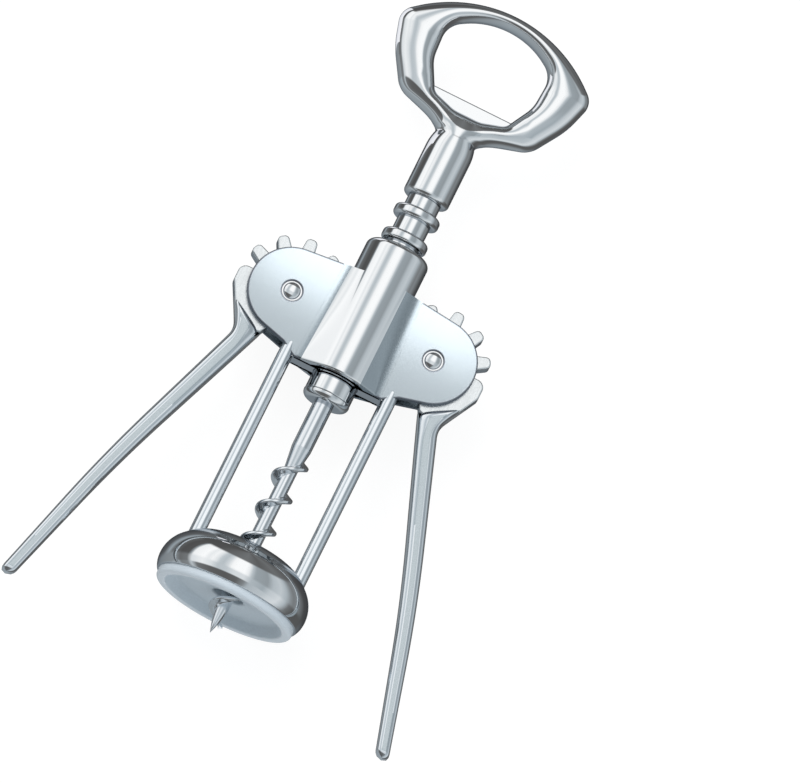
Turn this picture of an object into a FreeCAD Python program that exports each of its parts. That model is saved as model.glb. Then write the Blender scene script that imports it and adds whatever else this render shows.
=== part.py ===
"""Wing corkscrew: a die-cast frame, two geared levers, a ringed rack and a worm that turns in it.

Frame of the model, in millimetres: the tool lies on its back. The worm's axis runs along +Y, from
the bottle seat to the opener head. The front face looks along +Z. The origin is on the axis, at the
underside of the base.
"""
import FreeCAD
import Part
import math
import os
import Sketcher

Vector = FreeCAD.Vector
ROOT_POINT = (-1, 1)
H_AXIS, V_AXIS = range(-1, -3, -1)
START, END, CENTRE = range(1, 4)
FULL_TURN = 360.0
TINY = 1e-6
PAST = 1.0
FADE_REACH = 3
SIDES = (("right", 1), ("left", -1))

document = FreeCAD.newDocument("wing_corkscrew")
sheet = document.addObject("Spreadsheet::Sheet", "Sizes")


# --- Sizes: a number together with the sheet expression that gives it ---------------------------

class Size:
    """A length or an angle that knows its number and its expression over the sheet."""

    def __init__(self, number, text):
        self.number = float(number)
        self.text = text

    def __add__(self, other):
        other = as_size(other)
        return Size(self.number + other.number, f"({self.text} + {other.text})")

    def __sub__(self, other):
        other = as_size(other)
        return Size(self.number - other.number, f"({self.text} - {other.text})")

    def __mul__(self, other):
        other = as_size(other)
        return Size(self.number * other.number, f"({self.text} * {other.text})")

    def __truediv__(self, other):
        other = as_size(other)
        return Size(self.number / other.number, f"({self.text} / {other.text})")

    def __neg__(self):
        return Size(-self.number, f"(0 - {self.text})")

    __radd__ = __add__
    __rmul__ = __mul__


def as_size(value):
    """A plain number as a Size."""
    return value if isinstance(value, Size) else Size(value, repr(float(value)))


def size(alias, number, meaning):
    """Write one driving dimension in the sheet and give it back as a Size."""
    size.row += 1
    sheet.set(f"A{size.row}", meaning)
    sheet.set(f"B{size.row}", str(number))
    sheet.setAlias(f"B{size.row}", alias)
    return Size(number, f"Sizes.{alias}")


size.row = 0


def sine(angle):
    """Sine of an angle in degrees."""
    return Size(math.sin(math.radians(angle.number)), f"sin({angle.text} * 1 deg)")


def cosine(angle):
    """Cosine of an angle in degrees."""
    return Size(math.cos(math.radians(angle.number)), f"cos({angle.text} * 1 deg)")


# Frame casting
pin_height = size("pin_height", 82.5, "Lever pins above the underside of the base")
pin_offset = size("pin_offset", 20.3, "Lever pins to the axis")
plate_depth = size("plate_depth", 8.8, "Depth of the cheek plates, front to back")
plate_bevel = size("plate_bevel", 0.7, "Bevel of the plates' rims")
pod_radius = size("pod_radius", 11.6, "Radius of the cheek plates about the lever pins")
plate_top = size("plate_top", 12.9, "Top edge of the plates at the barrel, above the pins")
plate_bottom = size("plate_bottom", 15.4, "Underside of the plates, below the pins")
flank_drop = size("flank_drop", 13.0, "Lower edge of the plates at the legs, below the pins")
leg_inset = size("leg_inset", 6.15, "Middle of a leg inside the base ring's largest radius")
leg_width = size("leg_width", 4.0, "Width of a leg")
leg_fillet = size("leg_fillet", 1.6, "Fillet between a leg and the plates")
barrel_radius = size("barrel_radius", 8.7, "Outer radius of the barrel")
barrel_top = size("barrel_top", 23.3, "Top of the barrel above the pins")
barrel_round = size("barrel_round", 2.2, "Rounding of the barrel's top edge")
flare_start = size("flare_start", 12.0, "Where the barrel starts to flare, above the pins")
flare_radius = size("flare_radius", 11.0, "Radius of the barrel at its foot")
bore_gap = size("bore_gap", 0.08, "Running clearance between the rack and the barrel")
gear_gap = size("gear_gap", 0.1, "Clearance each side of a lever between the plates")
tip_gap = size("tip_gap", 0.5, "Clearance round the lever teeth in the casting")

# Base
ring_radius = size("ring_radius", 20.75, "Largest radius of the base ring")
ring_equator = size("ring_equator", 5.7, "Height of the base ring's largest radius")
ring_bend = size("ring_bend", 4.0, "Where the ring's side would meet its shoulder, above its largest radius")
ring_swell = size("ring_swell", 9.0, "Radius between the ring's side and its shoulder")
ring_shoulder = size("ring_shoulder", 6.9, "Where the shoulder would meet the top, inside the ring's side")
ring_crown = size("ring_crown", 10.2, "Radius between the ring's shoulder and its top")
ring_top = size("ring_top", 16.35, "Height of the base ring")
ring_foot = size("ring_foot", 2.2, "Height of the base ring's lower edge")
ring_tuck = size("ring_tuck", 1.0, "How far the base ring draws in at its lower edge")
ring_lip = size("ring_lip", 4.45, "From the ring's opening to where its shoulder would meet its top")
ring_wall = size("ring_wall", 2.4, "Wall of the base ring at its foot")
ring_ceiling = size("ring_ceiling", 11.2, "Height of the hollow inside the base ring")
insert_gap = size("insert_gap", 0.02, "Fit of the liner in the base ring")
rim_step = size("rim_step", 0.55, "How far the liner's rim lies inside the base ring's edge")
rim_bevel = size("rim_bevel", 1.1, "Bevel of the liner's rim")
rim_width = size("rim_width", 1.3, "Width of the liner's flat rim")
seat_depth = size("seat_depth", 3.0, "Depth of the bottle seat in the liner")
seat_slope = size("seat_slope", 1.9, "Width of the slope round the bottle seat's floor")
worm_hole = size("worm_hole", 4.7, "Radius of the liner's hole for the worm")
liner_floor = size("liner_floor", 2.6, "Thickness of the liner's floor")

# Lever pins
pin_radius = size("pin_radius", 2.0, "Radius of a lever pin")
pin_gap = size("pin_gap", 0.05, "Running clearance between a lever and its pin")
pin_seat_gap = size("pin_seat_gap", 0.01, "Fit of a pin in the plates")
pin_head = size("pin_head", 2.25, "Radius of a pin's domed head")
pin_dome = size("pin_dome", 1.1, "Height of a pin's domed head over its recess")
recess_radius = size("recess_radius", 2.65, "Radius of the recess round a pin's head")
recess_depth = size("recess_depth", 0.5, "Depth of the recess round a pin's head")

# Rack
rack_radius = size("rack_radius", 6.3, "Outer radius of the rack's rings")
rack_root = size("rack_root", 4.1, "Radius of the rack between its rings")
rack_pitch = size("rack_pitch", 7.2, "Distance from ring to ring")
ring_width = size("ring_width", 2.95, "Width of one rack ring")
ring_bevel = size("ring_bevel", 0.85, "Bevel of the rack rings' edges")
ring_count = size("ring_count", 6, "Rings on the rack")
mesh_lead = size("mesh_lead", 3.5, "Angle of the meshing tooth above the pin line, in degrees")
nose_length = size("nose_length", 11.8, "Length of the rack's plain lower end")
spin_gap = size("spin_gap", 0.06, "Running clearance between the rack and the worm's shank")
end_gap = size("end_gap", 0.05, "End clearance of the rack on the worm's shank")

# Opener head
neck_radius = size("neck_radius", 6.3, "Radius of the neck")
neck_bevel = size("neck_bevel", 0.9, "Bevel of the neck's lower edge")
neck_bottom = size("neck_bottom", 38.1, "Lower end of the neck above the pins")
head_bottom = size("head_bottom", 58.3, "Underside of the head at the neck, above the pins")
head_depth = size("head_depth", 9.0, "Depth of the head, front to back")
head_bevel = size("head_bevel", 1.4, "Bevel of the head's outer edges")
eye_bevel = size("eye_bevel", 0.8, "Bevel of the eye's edges")
apex_rise = size("apex_rise", 46.5, "Where the head's upper flanks would meet, above its underside")
head_apex_round = size("head_apex_round", 37.8, "Radius of the head's top")
shoulder_out = size("shoulder_out", 27.6, "Half width of the head at its corners, unrounded")
shoulder_rise = size("shoulder_rise", 22.8, "The head's corners above its underside")
shoulder_round = size("shoulder_round", 4.5, "Radius of the head's corners")
flank_out = size("flank_out", 24.92, "Half width of the head at its flanks, unrounded")
flank_rise = size("flank_rise", 13.6, "The head's flanks above its underside")
flank_round = size("flank_round", 25.0, "Radius of the head's flanks")
jaw_out = size("jaw_out", 18.83, "Half width of the head at its lower corners, unrounded")
jaw_rise = size("jaw_rise", 3.7, "The head's lower corners above its underside")
jaw_round = size("jaw_round", 7.0, "Radius of the head's lower corners")
brow = size("brow", 12.22, "From where the eye's upper flanks would meet to where the head's would")
eye_apex_round = size("eye_apex_round", 20.4, "Radius of the top of the eye")
eye_out = size("eye_out", 14.95, "Half width of the eye, unrounded")
eye_corner_rise = size("eye_corner_rise", 24.9, "The eye's upper corners above the head's underside")
eye_corner_round = size("eye_corner_round", 6.5, "Radius of the eye's upper corners")
eye_flank_out = size("eye_flank_out", 14.35, "Half width of the eye at its flanks, unrounded")
eye_flank_rise = size("eye_flank_rise", 14.9, "The eye's flanks above the head's underside")
eye_flank_round = size("eye_flank_round", 10.0, "Radius of the eye's flanks")
eye_jaw_out = size("eye_jaw_out", 10.15, "Half width of the eye at its lower corners, unrounded")
eye_jaw_rise = size("eye_jaw_rise", 7.0, "The eye's lower corners above the head's underside")
eye_jaw_round = size("eye_jaw_round", 3.0, "Radius of the eye's lower corners")
eye_floor_rise = size("eye_floor_rise", 3.9, "Meeting of the eye's lower flanks, above the head's underside")
eye_bottom_round = size("eye_bottom_round", 16.0, "Radius of the bottom of the eye")
lip_rise = size("lip_rise", 8.5, "Straight edge of the cap lifter above the head's underside")
lip_depth = size("lip_depth", 2.4, "Thickness of the cap lifter")

# Worm
shank_radius = size("shank_radius", 2.7, "Radius of the worm's shank")
shank_top = size("shank_top", 54.0, "Top of the worm's shank above the pins")
worm_radius = size("worm_radius", 4.1, "Outer radius of the worm's flight")
worm_core = size("worm_core", 1.9, "Radius of the worm's core")
worm_pitch = size("worm_pitch", 9.55, "Pitch of the worm")
flight_top = size("flight_top", 35.5, "Where the flight runs out, below the pins")
worm_tip = size("worm_tip", 90.0, "Point of the worm, below the pins")
point_length = size("point_length", 9.0, "Length of the worm's tapered point")
flight_root = size("flight_root", 3.6, "Thickness of the flight at its root")
flight_edge = size("flight_edge", 0.35, "Thickness of the flight's edge")
collar_radius = size("collar_radius", 6.4, "Radius of the collar under the rack")
collar_height = size("collar_height", 2.05, "Height of the collar under the rack")
collar_round = size("collar_round", 1.8, "Rounding of the collar's lower edge")
shank_fit = size("shank_fit", 0.01, "Fit of the collar and the neck on the shank")
cross_pin_radius = size("cross_pin_radius", 1.0, "Radius of the pin that holds the shank in the neck")
cross_pin_height = size("cross_pin_height", 49.0, "Cross pin above the lever pins")

# Levers
gear_depth = size("gear_depth", 5.0, "Thickness of a lever between the plates")
tooth_count = size("tooth_count", 12, "Teeth that would fill a full turn")
tooth_used = size("tooth_used", 7, "Teeth on a lever")
tooth_tip = size("tooth_tip", 15.5, "Tip radius of the teeth")
tooth_root = size("tooth_root", 10.8, "Root radius of the teeth")
tooth_foot = size("tooth_foot", 2.1, "Half width of a tooth at its root")
tooth_crown = size("tooth_crown", 1.5, "Half width of a tooth at its tip, unrounded")
tooth_round = size("tooth_round", 1.25, "Rounding of a tooth's tip")
arm_depth = size("arm_depth", 7.4, "Depth of a lever's arm at its shoulder")
arm_tip_depth = size("arm_tip_depth", 4.4, "Depth of a lever's arm at its tip")
arm_bevel = size("arm_bevel", 0.8, "Bevel of an arm's long edges")
shoulder_radius = size("shoulder_radius", 13.4, "Radius about the pin where an arm gets its full depth")
heel_out = size("heel_out", 14.8, "Heel of a lever, outward from its pin")
heel_up = size("heel_up", 1.3, "Top of the heel above the pin")
heel_drop = size("heel_drop", 3.4, "Where the heel turns inward, below the pin")
waist_out = size("waist_out", 8.9, "Waist of a lever, outward from its pin")
waist_drop = size("waist_drop", 14.8, "Waist of a lever, below its pin")
waist_round = size("waist_round", 6.0, "Radius of a lever's waist")
arm_start_out = size("arm_start_out", 2.4, "Inner edge of an arm at its shoulder, outward from the pin")
arm_start_drop = size("arm_start_drop", 13.4, "Inner edge of an arm at its shoulder, below the pin")
arm_bend_out = size("arm_bend_out", 22.7, "Middle of an arm at its bend, outward from the pin")
arm_bend_drop = size("arm_bend_drop", 60.0, "Bend of an arm below its pin")
arm_bend_half = size("arm_bend_half", 2.6, "Half width of an arm at its bend, across")
arm_bend_round = size("arm_bend_round", 260.0, "Radius of an arm's bend")
arm_tip_out = size("arm_tip_out", 34.35, "Middle of an arm's tip, outward from the pin")
arm_tip_drop = size("arm_tip_drop", 100.0, "Tip of an arm below its pin")
arm_tip_half = size("arm_tip_half", 1.85, "Half width of an arm at its tip, across")
arm_tip_round = size("arm_tip_round", 1.7, "Rounding of an arm's tip")
hub_reach = size("hub_reach", 8.0, "How close the arm comes to the pin inside the hub")
step_drop = size("step_drop", 7.3, "Where the full depth of an arm starts at its outer edge, below the pin")
heel_round = size("heel_round", 2.2, "Rounding of the heel")
tooth_sink = size("tooth_sink", 0.8, "How deep a tooth is rooted in the hub")
pin_edge = size("pin_edge", 0.3, "Straight edge of a pin's head")
pin_crown = size("pin_crown", 1.1, "Radius of the crown of a pin's head")
plug_top = size("plug_top", 9.0, "Top of the liner's skirt in the base ring")
plug_wall = size("plug_wall", 1.8, "Wall of the liner's skirt")
guide_bevel = size("guide_bevel", 0.6, "Bevel of the worm hole's mouth")
ring_bite = size("ring_bite", 0.6, "How deep a ring is rooted in the rack's tube")
neck_shoulder = size("neck_shoulder", 1.8, "Half height of the slope from the neck to the head")
lip_root = size("lip_root", 1.5, "How deep the cap lifter is rooted in the head")
cross_pin_short = size("cross_pin_short", 0.1, "How far the cross pin's ends lie under the neck's surface")
shank_taper = size("shank_taper", 6.0, "Length over which the shank narrows to the worm's core")
first_crest = size("first_crest", 39.9, "Uppermost crest of the flight on the right, below the pins")
worm_turns = size("worm_turns", 5, "Whole turns of the flight below its uppermost crest")
worm_run_out = size("worm_run_out", 0.4, "Turns of the flight above its uppermost crest")
fade_length = size("fade_length", 8.0, "Length over which the flight rises from the shank")
flight_bite = size("flight_bite", 0.5, "How deep the flight is rooted in the core")

document.recompute()

# Sizes that follow from the driving ones
bore_radius = rack_radius + bore_gap
ring_foot_radius = ring_radius - ring_tuck
ring_mouth = ring_radius - ring_shoulder - ring_lip
rim_radius = ring_foot_radius - rim_step
seat_radius = rim_radius - rim_bevel - rim_width - seat_slope
leg_offset = ring_radius - leg_inset
leg_outside = leg_offset + leg_width / 2
leg_inside = leg_offset - leg_width / 2
slot_depth = gear_depth + gear_gap * 2
slot_radius = tooth_tip + tip_gap
plate_face = plate_depth / 2
pitch_radius = rack_pitch * tooth_count / (2 * math.pi)
mesh_rise = pitch_radius * mesh_lead * (math.pi / 180)
first_ring = pin_height + mesh_rise - rack_pitch / 2
tooth_step = as_size(FULL_TURN) / tooth_count
nose_top = first_ring - rack_pitch + ring_width / 2
nose_bottom = nose_top - nose_length
shank_bore = shank_radius + spin_gap
rack_end = pin_height + neck_bottom - end_gap
recess_floor = plate_face - recess_depth
pin_hole_radius = pin_radius + pin_seat_gap


def above_pins(height):
    """A height over the lever pins, as a distance along the axis."""
    return pin_height + height


def above_neck(height):
    """A height over the head's underside, as a distance along the axis."""
    return pin_height + head_bottom + height


# --- Building blocks ----------------------------------------------------------------------------

def new_body(name):
    """A part design body whose label names its file."""
    body = document.addObject("PartDesign::Body", name)
    body.Label = name
    return body


def origin_plane(body, role):
    """One of the body's own origin planes."""
    return next(feature for feature in body.Origin.OriginFeatures if feature.Role == role)


def bind(feature, **values):
    """Set properties of a feature; a Size is bound to the sheet."""
    for name, value in values.items():
        if isinstance(value, Size):
            feature.setExpression(name, value.text)
        else:
            setattr(feature, name, value)
    return feature


class Outline:
    """A closed outline of straight runs, rounded corners and arcs, bound to the sheet."""

    def __init__(self, body, name, plane="XY_Plane", lift=None):
        self.sketch = body.newObject("Sketcher::SketchObject", name)
        self.sketch.AttachmentSupport = (origin_plane(body, plane), [""])
        self.sketch.MapMode = "FlatFace"
        if lift:
            self.sketch.setExpression(".AttachmentOffset.Base.z", lift.text)
        self.items = []
        self.constraints = []
        self.bindings = []

    def corner(self, x, y, radius=None):
        """A corner at x, y, rounded where a radius is given."""
        self.items.append(("corner", as_size(x), as_size(y), radius))
        return self

    def wheel(self, x, y, radius):
        """An arc about a fixed centre that both neighbouring runs touch."""
        self.items.append(("wheel", as_size(x), as_size(y), radius))
        return self

    def bow(self, x, y, radius, side):
        """An arc of one radius from the last corner to x, y; side 1 has its centre on the left."""
        self.items.append(("bow", as_size(x), as_size(y), radius, side))
        return self

    def add_mirrored(self, items):
        """Add items again, mirrored in the vertical axis and in reverse order."""
        for kind, x, y, radius in reversed(items):
            self.items.append((kind, -x, y, radius))
        return self

    def mirrored(self):
        """Add all corners so far again, mirrored in the vertical axis and in reverse order."""
        return self.add_mirrored(list(self.items))

    def hold(self, geometry, place, x, y):
        """Bind a point of the sketch to x, y."""
        for kind, value, axis in (("DistanceX", x, V_AXIS), ("DistanceY", y, H_AXIS)):
            if abs(value.number) < TINY:
                self.constraints.append(Sketcher.Constraint("PointOnObject", geometry, place, axis))
            else:
                self.bindings.append((len(self.constraints), value.text))
                self.constraints.append(Sketcher.Constraint(kind, *ROOT_POINT, geometry, place, value.number))

    def radius(self, geometry, value):
        """Bind the radius of an arc."""
        self.bindings.append((len(self.constraints), value.text))
        self.constraints.append(Sketcher.Constraint("Radius", geometry, value.number))

    def finish(self):
        """Draw the outline and give back its sketch."""
        self.draw_runs()
        self.sketch.addConstraint(self.constraints)
        for number, text in self.bindings:
            self.sketch.setExpression(f"Constraints[{number}]", text)
        return self.sketch

    def draw_runs(self):
        """Draw the runs between the items and join them."""
        items = self.items
        count = len(items)
        runs = [straight_run(items[index], items[(index + 1) % count]) for index in range(count)]
        ends = []
        for index, item in enumerate(items):
            ends.append(rounded_ends(item, runs[index - 1], runs[index]))
        run_geometry = []
        for index in range(count):
            following = items[(index + 1) % count]
            start = ends[index][1]
            stop = ends[(index + 1) % count][0]
            if following[0] == "bow":
                arc = arc_between(start, stop, following[3].number, following[4])
                geometry = self.sketch.addGeometry(arc, False)
                forward = following[4] > 0
                run_geometry.append((geometry, START if forward else END, END if forward else START))
                self.radius(geometry, following[3])
            else:
                geometry = self.sketch.addGeometry(Part.LineSegment(start, stop), False)
                run_geometry.append((geometry, START, END))
        for index, item in enumerate(items):
            self.join(item, ends[index], run_geometry[index - 1], run_geometry[index])

    def join(self, item, ends, before, after):
        """Join two runs at a corner, through an arc where the corner is rounded."""
        if item[0] == "bow" or item[3] is None:
            meeting = (before[0], before[2], after[0], after[1])
            self.constraints.append(Sketcher.Constraint("Coincident", *meeting))
            self.hold(before[0], before[2], item[1], item[2])
            return
        left = ends[2] > 0
        arc = arc_between(ends[0], ends[1], item[3].number, ends[2])
        geometry = self.sketch.addGeometry(arc, False)
        first, last = (START, END) if left else (END, START)
        self.constraints.append(Sketcher.Constraint("Tangent", before[0], before[2], geometry, first))
        self.constraints.append(Sketcher.Constraint("Tangent", geometry, last, after[0], after[1]))
        self.radius(geometry, item[3])
        if item[0] == "wheel":
            self.hold(geometry, CENTRE, item[1], item[2])
            return
        point = self.sketch.addGeometry(Part.Point(Vector(item[1].number, item[2].number, 0)), True)
        self.hold(point, START, item[1], item[2])
        self.constraints.append(Sketcher.Constraint("PointOnObject", point, START, before[0]))
        self.constraints.append(Sketcher.Constraint("PointOnObject", point, START, after[0]))


def position(item):
    """Place of an outline's item."""
    return Vector(item[1].number, item[2].number, 0)


def straight_run(item, following):
    """Start and direction of the run from one item to the next."""
    start = position(item)
    stop = position(following)
    gap = stop - start
    angle = math.atan2(gap.y, gap.x)
    if item[0] == "wheel":
        angle += math.asin(item[3].number / gap.Length)
    if following[0] == "wheel":
        angle -= math.asin(following[3].number / gap.Length)
    return Vector(math.cos(angle), math.sin(angle), 0)


def rounded_ends(item, before, after):
    """Where an item's arc starts and stops, and to which side it turns."""
    place = position(item)
    turn = before.x * after.y - before.y * after.x
    side = 1 if turn > 0 else -1
    if item[0] == "bow" or item[3] is None:
        return place, place, 0
    radius = item[3].number
    if item[0] == "wheel":
        first = place + Vector(before.y, -before.x, 0) * radius
        last = place + Vector(after.y, -after.x, 0) * radius
        return first, last, 1
    bend = math.atan2(abs(turn), before.dot(after))
    reach = radius * math.tan(bend / 2)
    return place - before * reach, place + after * reach, side


def arc_between(start, stop, radius, side):
    """Arc of the given radius from start to stop; side 1 has its centre on the left."""
    chord = stop - start
    middle = (start + stop) * 0.5
    lift = math.sqrt(max(radius ** 2 - chord.Length ** 2 / 4, 0.0))
    normal = Vector(-chord.y, chord.x, 0).normalize()
    centre = middle + normal * (lift * side)
    first, last = (start, stop) if side > 0 else (stop, start)
    angle_first = math.atan2(first.y - centre.y, first.x - centre.x)
    angle_last = math.atan2(last.y - centre.y, last.x - centre.x)
    if angle_last < angle_first:
        angle_last += 2 * math.pi
    return Part.ArcOfCircle(Part.Circle(centre, Vector(0, 0, 1), radius), angle_first, angle_last)


def revolve(body, sketch, name, kind="PartDesign::Revolution"):
    """Turn a sketch a full turn about its vertical axis."""
    feature = body.newObject(kind, name)
    bind(feature, Profile=sketch, ReferenceAxis=(sketch, ["V_Axis"]), Angle=FULL_TURN)
    sketch.Visibility = False
    return feature


def pad(body, sketch, name, depth):
    """Pad a sketch by a depth, half to each side."""
    feature = body.newObject("PartDesign::Pad", name)
    return bind(feature, Profile=sketch, SideType="Symmetric", Length=depth)


def pocket(body, sketch, name, depth):
    """Cut a sketch away by a depth, half to each side."""
    feature = body.newObject("PartDesign::Pocket", name)
    return bind(feature, Profile=sketch, SideType="Symmetric", Length=depth)


def picked(base, wanted):
    """The edges of a feature that a test picks, as a link."""
    return base, [f"Edge{number}" for number, edge in enumerate(base.Shape.Edges, 1) if wanted(edge)]


def bevel_edges(body, base, name, width, wanted):
    """Chamfer the edges of a feature that a test picks."""
    feature = body.newObject("PartDesign::Chamfer", name)
    return bind(feature, Base=picked(base, wanted), Size=width)


def circle(body, name, x, y, radius, plane="XY_Plane", lift=None):
    """Sketch of one circle."""
    outline = Outline(body, name, plane, lift)
    shape = Part.Circle(Vector(as_size(x).number, as_size(y).number, 0), Vector(0, 0, 1), radius.number)
    geometry = outline.sketch.addGeometry(shape, False)
    outline.hold(geometry, CENTRE, as_size(x), as_size(y))
    outline.radius(geometry, radius)
    return outline.finish()


def on_faces(edge, depth):
    """True for an edge that lies whole in the front or back face of a plate of this depth."""
    box = edge.BoundBox
    return box.ZLength < TINY and abs(abs(box.ZMin) - depth.number / 2) < TINY


def is_new(edge, before):
    """True for an edge whose middle is none of those noted before."""
    return all(edge.CenterOfMass.distanceToPoint(middle) > TINY for middle in before)


def long_arm_edge(edge):
    """True for a long edge of a lever's arm, front or back."""
    box = edge.BoundBox
    on_a_face = min(abs(box.ZMin), abs(box.ZMax)) > arm_tip_depth.number / 2 - TINY
    return on_a_face and box.ZMin * box.ZMax > 0 and edge.CenterOfMass.y < -shoulder_radius.number


def place(body, x, y):
    """Put a body's origin at x, y."""
    body.setExpression("Placement.Base.x", as_size(x).text)
    body.setExpression("Placement.Base.y", as_size(y).text)


# --- Sub-parts ----------------------------------------------------------------------------------

def frame_casting():
    """Cheek plates, legs, barrel and base ring, cast in one."""
    body = new_body("frame_casting")
    foot = ring_ceiling + ring_wall / 2
    outline = Outline(body, "plate_outline")
    outline.corner(leg_inside, pin_height - plate_bottom, leg_fillet)
    outline.corner(leg_inside, foot)
    outline.corner(leg_outside, foot)
    outline.corner(leg_outside, pin_height - flank_drop, leg_fillet)
    outline.wheel(pin_offset, pin_height, pod_radius)
    outline.corner(barrel_radius, pin_height + plate_top)
    plates = pad(body, outline.mirrored().finish(), "plates", plate_depth)
    document.recompute()
    bevel_edges(body, plates, "plate_rims", plate_bevel, lambda edge: on_faces(edge, plate_depth))
    revolve(body, barrel_profile(body), "barrel")
    revolve(body, base_ring_profile(body), "base_ring")

    bore = Outline(body, "barrel_bore_profile")
    bore.corner(0, pin_height - plate_bottom - PAST)
    bore.corner(bore_radius, pin_height - plate_bottom - PAST)
    bore.corner(bore_radius, pin_height + barrel_top + PAST)
    bore.corner(0, pin_height + barrel_top + PAST)
    revolve(body, bore.finish(), "barrel_bore", "PartDesign::Groove")
    for name, way in SIDES:
        slot = circle(body, f"{name}_gear_slot_section", pin_offset * way, pin_height, slot_radius)
        pocket(body, slot, f"{name}_gear_slot", slot_depth)
        hole = circle(body, f"{name}_pin_hole_section", pin_offset * way, pin_height, pin_hole_radius)
        pocket(body, hole, f"{name}_pin_hole", plate_depth + PAST)
        for face, outward in (("front", 1), ("back", -1)):
            recess = circle(body, f"{name}_{face}_recess_section", pin_offset * way, pin_height,
                            recess_radius, lift=recess_floor * outward)
            feature = body.newObject("PartDesign::Pocket", f"{name}_{face}_recess")
            bind(feature, Profile=recess, Length=recess_depth + PAST, Reversed=outward > 0)
    return body


def barrel_profile(body):
    """Half section of the barrel, which flares towards its foot."""
    bow_length = flare_start + plate_bottom
    bow_swell = flare_radius - barrel_radius
    bow_radius = (bow_length * bow_length + bow_swell * bow_swell) / (bow_swell * 2)
    profile = Outline(body, "barrel_profile")
    profile.corner(0, pin_height - plate_bottom)
    profile.corner(flare_radius, pin_height - plate_bottom)
    profile.bow(barrel_radius, pin_height + flare_start, bow_radius, -1)
    profile.corner(barrel_radius, pin_height + barrel_top, barrel_round)
    profile.corner(0, pin_height + barrel_top)
    return profile.finish()


def base_ring_profile(body):
    """Half section of the rounded base ring, hollow from below."""
    foot_drop = ring_equator - ring_foot
    foot_swell = ring_radius - ring_foot_radius
    foot_radius = (foot_drop * foot_drop + foot_swell * foot_swell) / (foot_swell * 2)
    profile = Outline(body, "base_ring_profile")
    profile.corner(ring_mouth, ring_ceiling)
    profile.corner(ring_foot_radius - ring_wall, ring_ceiling)
    profile.corner(ring_foot_radius - ring_wall, ring_foot)
    profile.corner(ring_foot_radius, ring_foot)
    profile.bow(ring_radius, ring_equator, foot_radius, 1)
    profile.corner(ring_radius, ring_equator + ring_bend, ring_swell)
    profile.corner(ring_radius - ring_shoulder, ring_top, ring_crown)
    profile.corner(ring_mouth, ring_top)
    return profile.finish()


def base_liner():
    """Plastic liner of the base ring, with the bottle seat and the worm's guide hole."""
    body = new_body("base_liner")
    plug_radius = ring_foot_radius - ring_wall - insert_gap
    profile = Outline(body, "liner_profile")
    profile.corner(worm_hole, seat_depth + guide_bevel)
    profile.corner(worm_hole + guide_bevel, seat_depth)
    profile.corner(seat_radius, seat_depth)
    profile.corner(rim_radius - rim_bevel - rim_width, 0)
    profile.corner(rim_radius - rim_bevel, 0)
    profile.corner(rim_radius, rim_bevel)
    profile.corner(rim_radius, ring_foot)
    profile.corner(plug_radius, ring_foot)
    profile.corner(plug_radius, plug_top)
    profile.corner(plug_radius - plug_wall, plug_top)
    profile.corner(plug_radius - plug_wall, seat_depth + liner_floor)
    profile.corner(worm_hole, seat_depth + liner_floor)
    revolve(body, profile.finish(), "liner")
    return body


def lever_pin(name, way):
    """Riveted pin with a domed head at each end."""
    body = new_body(f"{name}_lever_pin")
    profile = Outline(body, "pin_profile", "XZ_Plane")
    profile.corner(0, -(recess_floor + pin_dome))
    profile.corner(pin_crown, -(recess_floor + pin_dome))
    profile.corner(pin_head, -(recess_floor + pin_edge))
    profile.corner(pin_head, -recess_floor)
    profile.corner(pin_radius, -recess_floor)
    profile.corner(pin_radius, recess_floor)
    profile.corner(pin_head, recess_floor)
    profile.corner(pin_head, recess_floor + pin_edge)
    profile.corner(pin_crown, recess_floor + pin_dome)
    profile.corner(0, recess_floor + pin_dome)
    revolve(body, profile.finish(), "pin")
    place(body, pin_offset * way, pin_height)
    return body


def rack_sleeve():
    """Tube with equally spaced rings that the lever teeth engage, and a plain lower end."""
    body = new_body("rack_sleeve")
    profile = Outline(body, "sleeve_profile")
    profile.corner(shank_bore, nose_bottom)
    profile.corner(rack_radius, nose_bottom)
    profile.corner(rack_radius, nose_top - ring_bevel)
    profile.corner(rack_radius - ring_bevel, nose_top)
    profile.corner(rack_root, nose_top)
    profile.corner(rack_root, rack_end)
    profile.corner(shank_bore, rack_end)
    revolve(body, profile.finish(), "sleeve")
    ring = Outline(body, "ring_profile")
    low = first_ring - ring_width / 2
    high = first_ring + ring_width / 2
    ring.corner(shank_bore + ring_bite, low)
    ring.corner(rack_radius - ring_bevel, low)
    ring.corner(rack_radius, low + ring_bevel)
    ring.corner(rack_radius, high - ring_bevel)
    ring.corner(rack_radius - ring_bevel, high)
    ring.corner(shank_bore + ring_bite, high)
    first = revolve(body, ring.finish(), "ring")
    rings = body.newObject("PartDesign::LinearPattern", "rings")
    bind(rings, Originals=[first], Direction=(first.Profile[0], ["V_Axis"]),
         Length=rack_pitch * (ring_count - 1), Occurrences=ring_count)
    body.Tip = rings
    return body


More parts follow.
